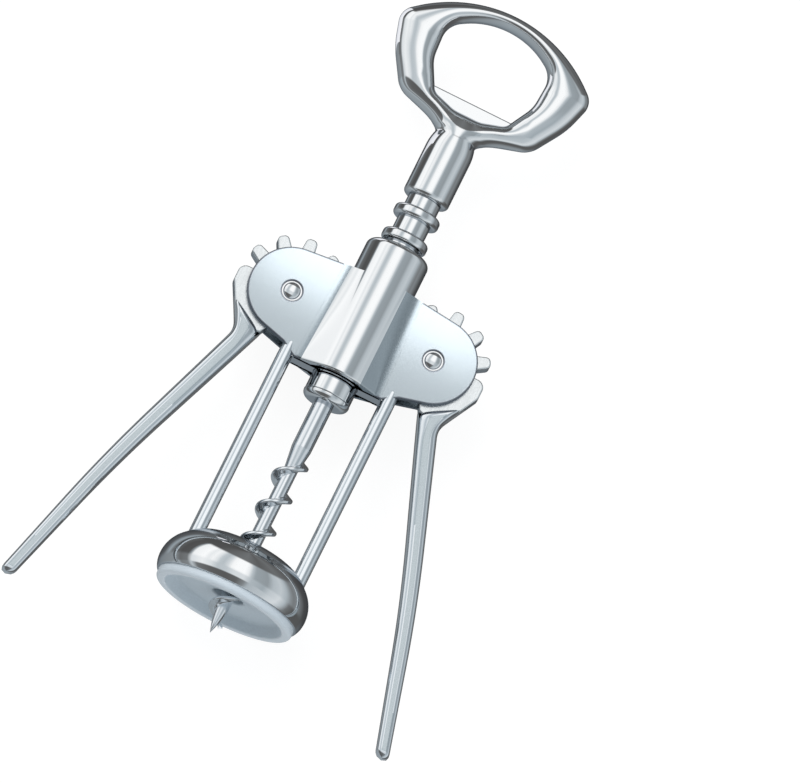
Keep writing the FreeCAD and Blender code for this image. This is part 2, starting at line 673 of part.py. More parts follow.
def opener_head():
    """Crown-cap opener that is the turning handle, with its neck."""
    body = new_body("opener_head")
    rim = Outline(body, "head_outline")
    rim.corner(neck_radius, above_pins(head_bottom))
    rim.corner(jaw_out, above_neck(jaw_rise), jaw_round)
    rim.corner(flank_out, above_neck(flank_rise), flank_round)
    rim.corner(shoulder_out, above_neck(shoulder_rise), shoulder_round)
    left = list(rim.items)
    rim.corner(0, above_neck(apex_rise), head_apex_round)
    rim.add_mirrored(left)
    plate = pad(body, rim.finish(), "head_plate", head_depth)
    document.recompute()
    soft = bevel_edges(body, plate, "head_rims", head_bevel,
                       lambda edge: on_faces(edge, head_depth))
    document.recompute()
    before = [edge.CenterOfMass for edge in soft.Shape.Edges]

    eye = Outline(body, "eye_outline")
    eye.corner(eye_jaw_out, above_neck(eye_jaw_rise), eye_jaw_round)
    eye.corner(eye_flank_out, above_neck(eye_flank_rise), eye_flank_round)
    eye.corner(eye_out, above_neck(eye_corner_rise), eye_corner_round)
    left = list(eye.items)
    eye.corner(0, above_neck(apex_rise - brow), eye_apex_round)
    eye.add_mirrored(left)
    eye.corner(0, above_neck(eye_floor_rise), eye_bottom_round)
    opening = pocket(body, eye.finish(), "eye", head_depth + PAST)
    document.recompute()
    bevel_edges(body, opening, "eye_rims", eye_bevel,
                lambda edge: on_faces(edge, head_depth) and is_new(edge, before))

    neck = Outline(body, "neck_profile")
    neck.corner(0, above_pins(neck_bottom))
    neck.corner(neck_radius - neck_bevel, above_pins(neck_bottom))
    neck.corner(neck_radius, above_pins(neck_bottom) + neck_bevel)
    neck.corner(neck_radius, above_pins(head_bottom - neck_shoulder))
    neck.corner(head_depth / 2, above_pins(head_bottom + neck_shoulder))
    neck.corner(0, above_pins(head_bottom + neck_shoulder))
    revolve(body, neck.finish(), "neck")

    lip = Outline(body, "lip_outline")
    lip.corner(eye_jaw_out + lip_root, above_neck(eye_floor_rise - lip_root))
    lip.corner(eye_jaw_out + lip_root, above_neck(lip_rise))
    pad(body, lip.mirrored().finish(), "cap_lifter", lip_depth)

    socket = Outline(body, "shank_socket_profile")
    socket.corner(0, above_pins(neck_bottom - PAST))
    socket.corner(shank_radius + shank_fit, above_pins(neck_bottom - PAST))
    socket.corner(shank_radius + shank_fit, above_pins(shank_top))
    socket.corner(0, above_pins(shank_top))
    revolve(body, socket.finish(), "shank_socket", "PartDesign::Groove")
    cross_hole(body, neck_radius * 2)
    return body


def cross_hole(body, length):
    """Drill the hole of the cross pin."""
    hole = circle(body, "cross_hole_section", above_pins(cross_pin_height), 0,
                  cross_pin_radius + shank_fit, "YZ_Plane")
    return pocket(body, hole, "cross_hole", length + PAST)


def cross_pin():
    """Straight pin that holds the worm's shank in the neck."""
    pin = document.addObject("Part::Cylinder", "cross_pin")
    pin.Label = "cross_pin"
    pin.Placement = FreeCAD.Placement(Vector(0, 0, 0), FreeCAD.Rotation(Vector(0, 1, 0), 90))
    length = (neck_radius - cross_pin_short) * 2
    bind(pin, Radius=cross_pin_radius, Height=length)
    pin.setExpression("Placement.Base.x", (-length / 2).text)
    pin.setExpression("Placement.Base.y", above_pins(cross_pin_height).text)
    return pin


def worm():
    """Auger with a sharp point, drawn from one rod with its long shank."""
    body = new_body("worm")
    tip = pin_height - worm_tip
    core = Outline(body, "core_profile")
    core.corner(0, tip)
    core.corner(worm_core, tip + point_length * worm_core / worm_radius)
    core.corner(worm_core, pin_height - flight_top - shank_taper)
    core.corner(shank_radius, pin_height - flight_top)
    core.corner(shank_radius, above_pins(shank_top - end_gap))
    core.corner(0, above_pins(shank_top - end_gap))
    revolve(body, core.finish(), "core")

    start = pin_height - first_crest - worm_pitch * worm_turns
    edge = flight_edge / 2
    flight = Outline(body, "flight_profile")
    flight.corner(worm_core - flight_bite, start - flight_root / 2)
    flight.corner(worm_radius, start - edge)
    flight.corner(worm_radius, start + edge)
    flight.corner(worm_core - flight_bite, start + flight_root / 2)
    helix = body.newObject("PartDesign::AdditiveHelix", "flight")
    section = flight.finish()
    bind(helix, Profile=section, ReferenceAxis=(section, ["V_Axis"]), Mode="pitch-height-angle",
         Pitch=worm_pitch, Height=worm_pitch * (worm_turns + worm_run_out), Angle=0, Growth=0,
         LeftHanded=False, Reversed=False)

    point = Outline(body, "point_profile")
    point.corner(0, tip)
    point.corner(0, tip - point_length)
    point.corner(worm_radius * 2, tip - point_length)
    point.corner(worm_radius * 2, tip + point_length * 2)
    revolve(body, point.finish(), "ground_point", "PartDesign::Groove")
    fade = Outline(body, "fade_profile")
    fade.corner(shank_radius, pin_height - flight_top)
    fade.corner(worm_radius * 2, pin_height - flight_top - fade_length * FADE_REACH)
    fade.corner(worm_radius * 2, pin_height)
    fade.corner(shank_radius, pin_height)
    revolve(body, fade.finish(), "flight_fade", "PartDesign::Groove")
    cross_hole(body, shank_radius * 2)
    return body


def worm_collar():
    """Domed collar fixed on the shank under the rack."""
    body = new_body("worm_collar")
    profile = Outline(body, "collar_profile")
    top = nose_bottom - end_gap
    foot = top - collar_height
    waist = collar_round * (1 - math.sqrt(0.5))
    profile.corner(shank_radius + shank_fit, foot)
    profile.corner(collar_radius - collar_round, foot)
    profile.corner(collar_radius - waist, foot + waist)
    profile.corner(collar_radius, foot + collar_round)
    profile.corner(collar_radius, top)
    profile.corner(shank_radius + shank_fit, top)
    revolve(body, profile.finish(), "collar")
    return body


def lever(name, way):
    """Geared lever: a toothed hub between the plates and a long tapering arm."""
    body = new_body(f"{name}_lever")

    pad(body, circle(body, "hub_section", 0, 0, tooth_root), "hub", gear_depth)
    heel = Outline(body, "heel_outline")
    heel.corner(0, heel_up)
    heel.corner(heel_out * way, heel_up, heel_round)
    heel.corner(heel_out * way, -heel_drop, heel_round)
    heel.corner(waist_out * way, -waist_drop)
    heel.corner(arm_start_out * way, -arm_start_drop)
    heel.corner(0, -hub_reach)
    pad(body, heel.finish(), "heel", gear_depth)
    pad(body, arm_section(body, way), "arm", arm_depth)
    for face, outward in (("front", 1), ("back", -1)):
        relief = circle(body, f"{face}_relief_section", 0, 0, shoulder_radius, lift=gear_depth / 2 * outward)
        feature = body.newObject("PartDesign::Pocket", f"{face}_relief")
        bind(feature, Profile=relief, Length=arm_depth, Reversed=outward > 0)
        taper = Outline(body, f"{face}_taper_profile", "YZ_Plane")
        taper.corner(-shoulder_radius, arm_depth / 2 * outward)
        taper.corner(-arm_tip_drop - PAST, arm_tip_depth / 2 * outward)
        taper.corner(-arm_tip_drop - PAST, arm_depth * outward)
        taper.corner(-shoulder_radius, arm_depth * outward)
        pocket(body, taper.finish(), f"{face}_taper", arm_tip_drop * 2)
    document.recompute()
    bevel_edges(body, body.Tip, "arm_edges", arm_bevel, long_arm_edge)

    angle = tooth_step - mesh_lead
    across = cosine(angle)
    up = sine(angle)
    tooth = Outline(body, "tooth_outline")
    root = tooth_root - tooth_sink
    for reach, half, rounding in ((root, -tooth_foot, None), (tooth_tip, -tooth_crown, tooth_round),
                                  (tooth_tip, tooth_crown, tooth_round), (root, tooth_foot, None)):
        tooth.corner((reach * across - half * up) * way, reach * up + half * across, rounding)
    first = pad(body, tooth.finish(), "tooth", gear_depth)
    teeth = body.newObject("PartDesign::PolarPattern", "teeth")
    bind(teeth, Originals=[first], Axis=(origin_plane(body, "Z_Axis"), [""]), Reversed=way < 0,
         Angle=tooth_step * (tooth_used - 1), Occurrences=tooth_used)
    body.Tip = teeth
    bore = circle(body, "pin_bore_section", 0, 0, pin_radius + pin_gap)
    pocket(body, bore, "pin_bore", gear_depth + PAST)
    place(body, pin_offset * way, pin_height)
    return body


def arm_section(body, way):
    """Outline of a lever's arm, which starts at the heel and tapers to its tip."""
    step_share = (step_drop - heel_drop) / (waist_drop - heel_drop)
    step_out = heel_out - (heel_out - waist_out) * step_share
    arm = Outline(body, "arm_outline")
    arm.corner(hub_reach * way, -heel_drop)
    arm.corner(step_out * way, -step_drop)
    arm.corner(waist_out * way, -waist_drop, waist_round)
    arm.corner((arm_bend_out + arm_bend_half) * way, -arm_bend_drop, arm_bend_round)
    arm.corner((arm_tip_out + arm_tip_half) * way, -arm_tip_drop, arm_tip_round)
    arm.corner((arm_tip_out - arm_tip_half) * way, -arm_tip_drop, arm_tip_round)
    arm.corner((arm_bend_out - arm_bend_half) * way, -arm_bend_drop, arm_bend_round)
    arm.corner(arm_start_out * way, -arm_start_drop)
    arm.corner(0, -hub_reach)
    return arm.finish()


def main():
    """Build every sub-part, check the document and write one file for each sub-part."""
    parts = [frame_casting(), base_liner(), rack_sleeve(), opener_head(), cross_pin(), worm(), worm_collar()]
    for name, way in SIDES:
        parts += [lever(name, way), lever_pin(name, way)]
    document.recompute()
    for feature in document.Objects:
        if {"Invalid", "Error"} & set(feature.State):
            raise RuntimeError(f"{feature.Name} failed: {feature.State}")
    os.makedirs("parts", exist_ok=True)
    for part in parts:
        shape = part.Shape
        if shape.isNull() or not shape.isValid() or len(shape.Solids) != 1:
            raise RuntimeError(f"{part.Label} is not one valid solid")
        shape.exportStep(f"parts/{part.Label}.step")
        print(f"{part.Label}: {shape.Volume:.1f} mm3")


main()
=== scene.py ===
import math

import bmesh
import bpy
import numpy as np
from bpy.props import FloatProperty, FloatVectorProperty, IntProperty, PointerProperty
from mathutils import Matrix, Vector
from mathutils.geometry import tessellate_polygon


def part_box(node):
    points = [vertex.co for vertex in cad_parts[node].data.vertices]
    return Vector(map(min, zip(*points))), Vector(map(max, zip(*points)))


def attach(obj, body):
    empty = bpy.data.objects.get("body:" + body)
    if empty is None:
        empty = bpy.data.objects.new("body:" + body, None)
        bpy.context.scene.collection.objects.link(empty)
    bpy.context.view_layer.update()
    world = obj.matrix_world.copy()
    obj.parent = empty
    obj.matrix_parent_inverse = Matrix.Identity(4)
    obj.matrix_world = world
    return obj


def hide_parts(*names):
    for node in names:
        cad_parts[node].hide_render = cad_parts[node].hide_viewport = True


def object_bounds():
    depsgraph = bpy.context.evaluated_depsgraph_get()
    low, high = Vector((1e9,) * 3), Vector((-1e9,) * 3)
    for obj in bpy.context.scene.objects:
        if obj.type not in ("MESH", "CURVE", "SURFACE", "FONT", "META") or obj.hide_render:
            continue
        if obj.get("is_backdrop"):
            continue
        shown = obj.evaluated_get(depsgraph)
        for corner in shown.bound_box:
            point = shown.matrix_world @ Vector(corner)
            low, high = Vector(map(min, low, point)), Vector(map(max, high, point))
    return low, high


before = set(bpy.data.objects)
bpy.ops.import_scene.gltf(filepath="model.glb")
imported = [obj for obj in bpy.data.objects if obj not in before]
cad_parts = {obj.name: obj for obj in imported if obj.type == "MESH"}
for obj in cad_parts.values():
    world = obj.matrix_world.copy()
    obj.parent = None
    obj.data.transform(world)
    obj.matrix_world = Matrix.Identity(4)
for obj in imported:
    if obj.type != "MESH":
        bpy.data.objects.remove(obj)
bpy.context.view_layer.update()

bl_info = {
    "name": "Wing corkscrew",
    "version": (1, 0, 0),
    "blender": (4, 5, 0),
    "location": "View3D > Sidebar > Corkscrew",
    "description": "Builds the chromed wing corkscrew piece by piece around its solid model",
    "category": "Object",
}

# Shapes are worked out in millimetres, in the solid model's frame: the worm turns about Y, and
# the tool's front faces +Z. MM takes them to the scene's metres.
MM = 0.001
TURN = 2 * math.pi
SIDES = (("right", 1), ("left", -1))
FACES = (("front", 1), ("back", -1))
# Millimetres: closer points are one, and a flat face has points this far in from its edge.
WELD = 1e-4
SUPPORT = 0.15
# Degrees: an edge that turns by more stays sharp.
SHARP = 38.0
# Colours of metal that is seen edge-on, far darker than real chrome there: painted dark reflections
# along the outlines. And the colour of plain white light.
EDGE_TINT = (0.50, 0.53, 0.57)
DARK_TINT = (0.16, 0.17, 0.20)
WHITE = (1.0, 1.0, 1.0, 1.0)


# --- Sizes and colours ---------------------------------------------------------------------------

def length(name, millimetres, description):
    """A length whose default is given in millimetres."""
    return FloatProperty(name=name, description=description, default=millimetres * MM, min=0.0,
                         precision=5, unit="LENGTH")


def amount(name, value, description):
    """A plain factor from nought to one."""
    return FloatProperty(name=name, description=description, default=value, min=0.0, max=1.0,
                         subtype="FACTOR")


def colour(name, value, description):
    """A linear colour."""
    return FloatVectorProperty(name=name, description=description, default=value, size=3,
                               min=0.0, max=1.0, subtype="COLOR")


class CorkscrewFrame(bpy.types.PropertyGroup):
    pin_height: length("Pin height", 82.5, "Lever pins above the underside of the base")
    pin_offset: length("Pin offset", 20.3, "Lever pins to the worm's axis")
    plate_depth: length("Casting depth", 8.8, "Depth of the cheek plates, front to back")
    sheet: length("Plate thickness", 1.8, "Thickness of one cheek plate")
    plate_round: length("Plate rim", 0.28, "Rounding of the cheek plates' rims")
    pod_radius: length("Pod radius", 11.6, "Radius of the cheek plates about the pins")
    plate_top: length("Plate top", 12.9, "Top edge of the plates at the barrel, above the pins")
    plate_bottom: length("Plate underside", 15.4, "Underside of the plates, below the pins")
    flank_drop: length("Flank", 13.0, "Lower edge of the plates at the legs, below the pins")
    hollow_width: length("Hollow width", 2.2, "Width of the hollows between barrel and plates")
    strip_edge: length("Strip edge", 6.2, "Where the barrel's polish ends on the right")
    crease_top: length("Crease at the top", 9.3,
                       "Edge between barrel and hollow, from the axis, at the top")
    crease_foot: length("Crease at the foot", 10.5, "The same edge at the foot")
    top_slope: amount("Top slope", 0.11, "Fall of the plates' top edge beside the barrel")
    lip_round: length("Lip rounding", 0.7, "Rounding of the casting's lower lip")
    leg_offset: length("Leg offset", 14.6, "Middle of a leg to the axis")
    leg_width: length("Leg width", 4.0, "Width of a leg")
    leg_round: length("Leg rounding", 1.85, "Rounding of a leg's long edges")
    barrel_radius: length("Barrel radius", 8.7, "Outer radius of the barrel")
    barrel_top: length("Barrel top", 23.3, "Top of the barrel above the pins")
    barrel_round: length("Barrel rounding", 2.2, "Rounding of the barrel's top edge")
    bore_radius: length("Bore radius", 6.38, "Radius of the barrel's bore")
    flare_start: length("Flare start", 12.0, "Where the barrel starts to flare, above the pins")
    flare_radius: length("Flare radius", 10.5, "Radius of the barrel at its foot")
    recess_radius: length("Recess radius", 2.65, "Recess round a pin's head")
    recess_depth: length("Recess depth", 0.5, "Depth of the recess round a pin's head")


class CorkscrewBase(bpy.types.PropertyGroup):
    ring_radius: length("Ring radius", 20.73, "Largest radius of the base ring")
    ring_equator: length("Ring equator", 5.7, "Height of the ring's largest radius")
    ring_bend: length("Ring bend", 9.7, "Height where the ring's side would meet its shoulder")
    ring_swell: length("Ring swell", 9.0, "Radius between the ring's side and its shoulder")
    ring_brow: length("Ring brow", 13.85, "Radius where the shoulder would meet the ring's top")
    ring_crown: length("Ring crown", 10.2, "Radius between the ring's shoulder and its top")
    ring_top: length("Ring top", 16.35, "Height of the base ring")
    ring_foot: length("Ring foot", 2.2, "Height of the ring's lower edge")
    foot_radius: length("Foot radius", 19.75, "Radius of the ring's lower edge")
    ring_mouth: length("Ring mouth", 9.4, "Radius of the opening on top of the ring")
    ring_ceiling: length("Ring hollow", 11.2, "Height of the hollow inside the ring")
    ring_wall: length("Ring wall", 2.4, "Wall of the ring at its foot")
    rim_radius: length("Liner rim", 19.2, "Radius of the liner's rim")
    seat_depth: length("Seat depth", 3.0, "Depth of the bottle seat")
    floor_radius: length("Seat floor", 14.9, "Radius of the bottle seat's floor")
    worm_hole: length("Worm hole", 4.25, "Radius of the liner's hole for the worm")


class CorkscrewRack(bpy.types.PropertyGroup):
    radius: length("Rack radius", 6.3, "Outer radius of the rack's rings")
    root: length("Rack root", 4.5, "Radius of the rack between its rings")
    bore: length("Rack bore", 2.76, "Radius of the rack's bore")
    pitch: length("Rack pitch", 7.2, "Distance from ring to ring")
    ring_width: length("Ring width", 2.95, "Width of one ring")
    ring_round: length("Ring rounding", 1.0, "Rounding of a ring's edges")
    first_ring: length("First ring", 79.74, "Middle of the lowest ring above the base")
    ring_count: IntProperty(name="Rings", description="Rings on the rack", default=6, min=1)
    collar_round: length("Collar rounding", 1.8, "Rounding of the collar's lower edge")


class CorkscrewHead(bpy.types.PropertyGroup):
    depth: length("Head depth", 9.0, "Depth of the head, front to back")
    outer_round: length("Outer rounding", 7.6, "How far in the head's outer rounding reaches")
    eye_round: length("Eye rounding", 5.4, "How far in the rounding of the eye reaches")
    neck_radius: length("Neck radius", 6.3, "Radius of the neck")
    neck_bottom: length("Neck bottom", 38.1, "Lower end of the neck above the pins")
    neck_round: length("Neck rounding", 1.2, "Rounding of the neck's lower edge")
    neck_dome: length("Neck dome", 52.0,
                      "Where the neck starts to sink into the head, above the pins")
    neck_end: length("Neck end", 61.4, "Where the neck has sunk into the head, above the pins")
    blend: length("Blend", 3.0, "Softness of the joint of the neck and the head")
    lip_height: length("Cap lifter", 66.8, "Straight edge of the cap lifter above the pins")
    lip_depth: length("Cap lifter thickness", 2.4, "Thickness of the cap lifter")


class CorkscrewWorm(bpy.types.PropertyGroup):
    radius: length("Worm radius", 4.1, "Outer radius of the flight")
    core: length("Worm core", 1.9, "Radius of the core")
    shank: length("Shank radius", 2.7, "Radius of the shank")
    pitch: length("Worm pitch", 9.55, "Pitch of the flight")
    first_crest: length("First crest", 39.9, "Uppermost crest on the right, below the pins")
    flight_top: length("Flight top", 35.5, "Where the flight runs out, below the pins")
    tip: length("Worm tip", 90.0, "Point of the worm, below the pins")
    point: length("Worm point", 9.0, "Length of the tapered point")
    root_width: length("Flight root", 3.0, "Thickness of the flight at its root")
    edge_width: length("Flight edge", 0.95, "Thickness of the flight near its edge")


class CorkscrewLever(bpy.types.PropertyGroup):
    gear_depth: length("Gear thickness", 5.0, "Thickness of a lever between the plates")
    arm_depth: length("Arm depth", 7.4, "Depth of an arm at its shoulder")
    tip_depth: length("Tip depth", 4.4, "Depth of an arm at its tip")
    hub_radius: length("Hub radius", 10.8, "Root radius of the teeth")
    tooth_tip: length("Tooth tip", 15.15, "Tip radius of the teeth")
    tooth_round: length("Tooth rounding", 1.25, "Rounding of a tooth's tip")
    tooth_count: IntProperty(name="Teeth", description="Teeth on a lever", default=7, min=1)
    tooth_step: FloatProperty(name="Tooth step", description="Angle from tooth to tooth",
                              default=math.radians(30), subtype="ANGLE")
    tooth_first: FloatProperty(name="First tooth", description="Angle of the outermost tooth",
                               default=math.radians(26.5), subtype="ANGLE")
    pin_radius: length("Pin radius", 2.0, "Radius of a lever pin")
    pin_head: length("Pin head", 2.25, "Radius of a pin's domed head")
    pin_dome: length("Pin dome", 1.1, "Height of a pin's head over its recess")


class CorkscrewFinish(bpy.types.PropertyGroup):
    chrome: colour("Chrome", (0.86, 0.875, 0.885), "Colour of the polished chrome")
    chrome_roughness: amount("Chrome roughness", 0.035, "Roughness of the polished chrome")
    satin: colour("Satin chrome", (0.435, 0.49, 0.525), "Colour of the satin chrome")
    edge: colour("Edge chrome", (0.22, 0.24, 0.27), "Colour of the chrome on the plates' cut edges")
    # The plates' rims are coloured dark to stand in for the dark reflections along them: painted
    # dark reflections, not a finish of their own.
    brushed: colour("Brushed chrome", (0.49, 0.55, 0.58), "Colour of the levers' broad faces")
    gear: colour("Gear chrome", (0.86, 0.89, 0.90), "Colour of the levers' teeth")
    satin_roughness: amount("Satin roughness", 0.25, "Roughness of the satin chrome")
    steel: colour("Steel", (1.0, 0.97, 0.93), "Colour of the worm's steel")
    steel_roughness: amount("Steel roughness", 0.06, "Roughness of the worm's steel")
    liner: colour("Liner", (0.66, 0.72, 0.75), "Colour of the plastic liner's rim")
    # The seat is coloured darker than the liner's rim, though both are one plastic: painted shade
    # in the seat's recess.
    seat: colour("Seat", (0.48, 0.56, 0.62), "Colour of the plastic bottle seat")
    liner_roughness: amount("Liner roughness", 0.42, "Roughness of the plastic liner")


class Sizes:
    """The sizes of one part in millimetres, and its other values as they are."""

    def __init__(self, part):
        group = getattr(bpy.context.scene, f"corkscrew_{part}")
        for name, prop in group.bl_rna.properties.items():
            if not prop.is_readonly and name != "name":
                value = getattr(group, name)
                setattr(self, name, value / MM if prop.unit == "LENGTH" else value)


# --- Paths: straight runs and arcs, in millimetres ------------------------------------------------

def path_runs(corners, closed):
    """Straight runs and arcs of a path; a corner is (x, y) or (x, y, radius)."""
    places = [Vector(corner[:2]) for corner in corners]
    count = len(places)
    ends = []
    arcs = []
    for index, place in enumerate(places):
        radius = corners[index][2] if len(corners[index]) > 2 else 0.0
        if not radius or not (closed or 0 < index < count - 1):
            ends.append((place, place))
            arcs.append(None)
            continue
        before = (place - places[index - 1]).normalized()
        after = (places[(index + 1) % count] - place).normalized()
        turn = before.x * after.y - before.y * after.x
        side = 1 if turn > 0 else -1
        bend = math.atan2(abs(turn), before.dot(after))
        reach = radius * math.tan(bend / 2)
        first = place - before * reach
        centre = first + Vector((-before.y, before.x)) * radius * side
        start = math.atan2(first.y - centre.y, first.x - centre.x)
        ends.append((first, place + after * reach))
        arcs.append((centre, radius, start, bend * side))
    runs = []
    for index in range(count):
        if arcs[index]:
            runs.append(("arc",) + arcs[index])
        if closed or index < count - 1:
            first, last = ends[index][1], ends[(index + 1) % count][0]
            if (last - first).length > WELD:
                runs.append(("line", first, last))
    return runs


def trace(corners, closed=True, step=6.0, longest=0.0):
    """Points along a path, and the normals on the right-hand side of its direction."""
    points = []
    normals = []
    for run in path_runs(corners, closed):
        if run[0] == "arc":
            centre, radius, start, sweep = run[1:]
            count = max(2, math.ceil(abs(math.degrees(sweep)) / step))
            if longest:
                count = max(count, math.ceil(abs(sweep) * radius / longest))
            for part in range(count + 1):
                angle = start + sweep * part / count
                outward = Vector((math.cos(angle), math.sin(angle)))
                points.append(centre + outward * radius)
                normals.append(outward * (1 if sweep > 0 else -1))
            continue
        first, last = run[1:]
        span = (last - first).length
        normal = Vector((last.y - first.y, first.x - last.x)) / span
        shares = [0.0, 1.0]
        if span > SUPPORT * 4:
            shares = [0.0, SUPPORT / span, 1 - SUPPORT / span, 1.0]
        if longest and span > longest:
            inner = math.ceil(span / longest)
            shares = shares[:2] + [part / inner for part in range(1, inner)] + shares[2:]
        for share in shares:
            points.append(first.lerp(last, share))
            normals.append(normal)
    kept = [0]
    for index in range(1, len(points)):
        if (points[index] - points[kept[-1]]).length > WELD:
            kept.append(index)
    if closed and (points[kept[-1]] - points[kept[0]]).length <= WELD:
        kept.pop()
    return [points[index] for index in kept], [normals[index] for index in kept]


def mirrored(corners, apex=()):
    """Corners of the right-hand side, then those on the axis, then the left-hand side."""
    left = [(-corner[0],) + tuple(corner[1:]) for corner in reversed(corners)]
    return list(corners) + list(apex) + left


def path_distance(corners, x, y):
    """Distance from points to a closed anticlockwise path, positive inside."""
    nowhere, touch = 1e9, 1e-9
    best = np.full(x.shape, nowhere)
    sign = np.ones(x.shape)
    for run in path_runs(corners, True):
        if run[0] == "arc":
            centre, radius, start, sweep = run[1:]
            across, up = x - centre.x, y - centre.y
            reach = np.hypot(across, up)
            middle = start + sweep / 2
            away = np.arctan2(across * -math.sin(middle) + up * math.cos(middle),
                              across * math.cos(middle) + up * math.sin(middle))
            met = np.abs(away) <= abs(sweep) / 2 + touch
            distance = np.where(met, np.abs(reach - radius), nowhere)
            inside = (reach < radius) if sweep > 0 else (reach > radius)
        else:
            first, last = run[1:]
            span = (last - first).length
            along_x, along_y = (last - first) / span
            across, up = x - first.x, y - first.y
            along = across * along_x + up * along_y
            height = up * along_x - across * along_y
            met = (along >= -touch) & (along <= span + touch)
            distance = np.where(met, np.abs(height), nowhere)
            inside = height > 0
        nearer = distance < best
        best = np.where(nearer, distance, best)
        sign = np.where(nearer, np.where(inside, 1.0, -1.0), sign)
    return best * sign


# --- Mesh code ------------------------------------------------------------------------------------

def new_piece(name, vertices, faces, materials, marks=None, sharp=SHARP):
    """An object from vertices in millimetres, welded, with its faces pointing outwards."""
    mesh = bpy.data.meshes.new(name)
    mesh.from_pydata([Vector(vertex) * MM for vertex in vertices], [], faces)
    if marks:
        mesh.polygons.foreach_set("material_index", marks)
    close_mesh(mesh, sharp, fill=False)
    for material in materials:
        mesh.materials.append(material)
    piece = bpy.data.objects.new(name, mesh)
    bpy.context.scene.collection.objects.link(piece)
    return piece


def close_mesh(mesh, sharp=SHARP, fill=True):
    """Weld a mesh, fill its open ends, turn its faces outwards and shade it smooth."""
    work = bmesh.new()
    work.from_mesh(mesh)
    bmesh.ops.remove_doubles(work, verts=work.verts, dist=WELD * MM)
    if fill:
        open_edges = [edge for edge in work.edges if edge.is_boundary]
        bmesh.ops.holes_fill(work, edges=open_edges, sides=0)
    bmesh.ops.recalc_face_normals(work, faces=work.faces)
    work.to_mesh(mesh)
    work.free()
    mesh.polygons.foreach_set("use_smooth", [True] * len(mesh.polygons))
    mesh.set_sharp_from_angle(angle=math.radians(sharp))


def keep_result(piece):
    """Turn a piece with its modifiers into a plain mesh."""
    bpy.context.view_layer.update()
    graph = bpy.context.evaluated_depsgraph_get()
    mesh = bpy.data.meshes.new_from_object(piece.evaluated_get(graph))
    piece.modifiers.clear()
    piece.data = mesh


def hollow_out(piece, cutters, sharp=SHARP):
    """Cut turned shapes, each given as lathe_data, out of a piece that is still loose."""
    cutter = new_piece("cutter", *joined(*cutters), [])
    cut = piece.modifiers.new("room", "BOOLEAN")
    cut.operation = "DIFFERENCE"
    cut.solver = "EXACT"
    cut.use_self = True
    cut.object = cutter
    keep_result(piece)
    bpy.data.objects.remove(cutter)
    close_mesh(piece.data, sharp)


def quads_between(rows, columns, close_rows, close_columns):
    """Faces of a grid of vertices, row by row."""
    faces = []
    for row in range(rows if close_rows else rows - 1):
        for column in range(columns if close_columns else columns - 1):
            below = (row + 1) % rows
            beside = (column + 1) % columns
            faces.append((row * columns + column, row * columns + beside,
                          below * columns + beside, below * columns + column))
    return faces


def turned(radius, height, angle, centre, along):
    """A point of a turned shape about an axis along X, Y or Z."""
    one, other = radius * math.cos(angle), radius * math.sin(angle)
    if along == "Y":
        return centre[0] + other, height, centre[1] + one
    if along == "X":
        return height, centre[0] + one, centre[1] + other
    return centre[0] + one, centre[1] + other, height


def lathe_data(corners, loop, segments=160, centre=(0.0, 0.0), along="Y", step=6.0):
    """Vertices and faces of a turned shape from the corners of its profile (radius, height)."""
    profile = trace(corners, loop, step)[0]
    vertices = []
    for segment in range(segments):
        angle = TURN * segment / segments
        vertices += [turned(point.x, point.y, angle, centre, along) for point in profile]
    return vertices, quads_between(segments, len(profile), True, loop)


def drum(radius, low, high, **options):
    """Vertices and faces of a plain cylinder."""
    profile = [(0.0, low), (radius, low), (radius, high), (0.0, high)]
    return lathe_data(profile, False, **options)


def lathe(name, corners, loop, materials, **options):
    """A turned piece."""
    return new_piece(name, *lathe_data(corners, loop, **options), materials)


def rim_rings(back, front, back_round, front_round, parts=5):
    """Insets and heights of a slab's rim from its back face to its front face."""
    turns = [math.pi / 2 * part / parts for part in range(parts + 1)]
    rings = [(back_round + SUPPORT, back)]
    rings += [(back_round * (1 - math.sin(turn)), back + back_round * (1 - math.cos(turn)))
              for turn in turns]
    rings += [(front_round * (1 - math.cos(turn)), front - front_round * (1 - math.sin(turn)))
              for turn in turns]
    return rings + [(front_round + SUPPORT, front)]


def slab_data(outlines, rings):
    """Vertices, faces and rim marks of a flat slab: its edge's outline, then those of its holes."""
    vertices = []
    faces = []
    marks = []
    caps = {0: [], len(rings) - 1: []}
    for number, (points, normals) in enumerate(outlines):
        inward = -1 if number == 0 else 1
        start = len(vertices)
        for ring, (inset, height) in enumerate(rings):
            loop = [point + normal * inset * inward for point, normal in zip(points, normals)]
            if ring in caps:
                caps[ring].append((len(vertices), [Vector((*place, 0)) for place in loop]))
            vertices += [(place.x, place.y, height) for place in loop]
        for face in quads_between(len(rings), len(points), False, True):
            faces.append(tuple(corner + start for corner in face))
            marks.append(1)
    for loops in caps.values():
        numbers = [first + index for first, loop in loops for index in range(len(loop))]
        for triangle in tessellate_polygon([loop for _, loop in loops]):
            faces.append(tuple(numbers[corner] for corner in triangle))
            marks.append(0)
    return vertices, faces, marks


def ring_outline(x, y, radius):
    """Points and normals of a circle, anticlockwise."""
    count = 72
    angles = [TURN * index / count for index in range(count)]
    normals = [Vector((math.cos(angle), math.sin(angle))) for angle in angles]
    return [Vector((x, y)) + normal * radius for normal in normals], normals


def sided(outline, way, centre=(0.0, 0.0)):
    """An outline about a centre, turned over for the left-hand side."""
    points, normals = outline
    return ([Vector((centre[0] + point.x * way, centre[1] + point.y)) for point in points],
            [Vector((normal.x * way, normal.y)) for normal in normals])


def swept(sections):
    """Vertices and faces of a shape through equal closed sections, with its ends closed."""
    columns = len(sections[0])
    vertices = [vertex for section in sections for vertex in section]
    faces = quads_between(len(sections), columns, False, True)
    faces.append(tuple(reversed(range(columns))))
    faces.append(tuple(range(len(vertices) - columns, len(vertices))))
    return vertices, faces


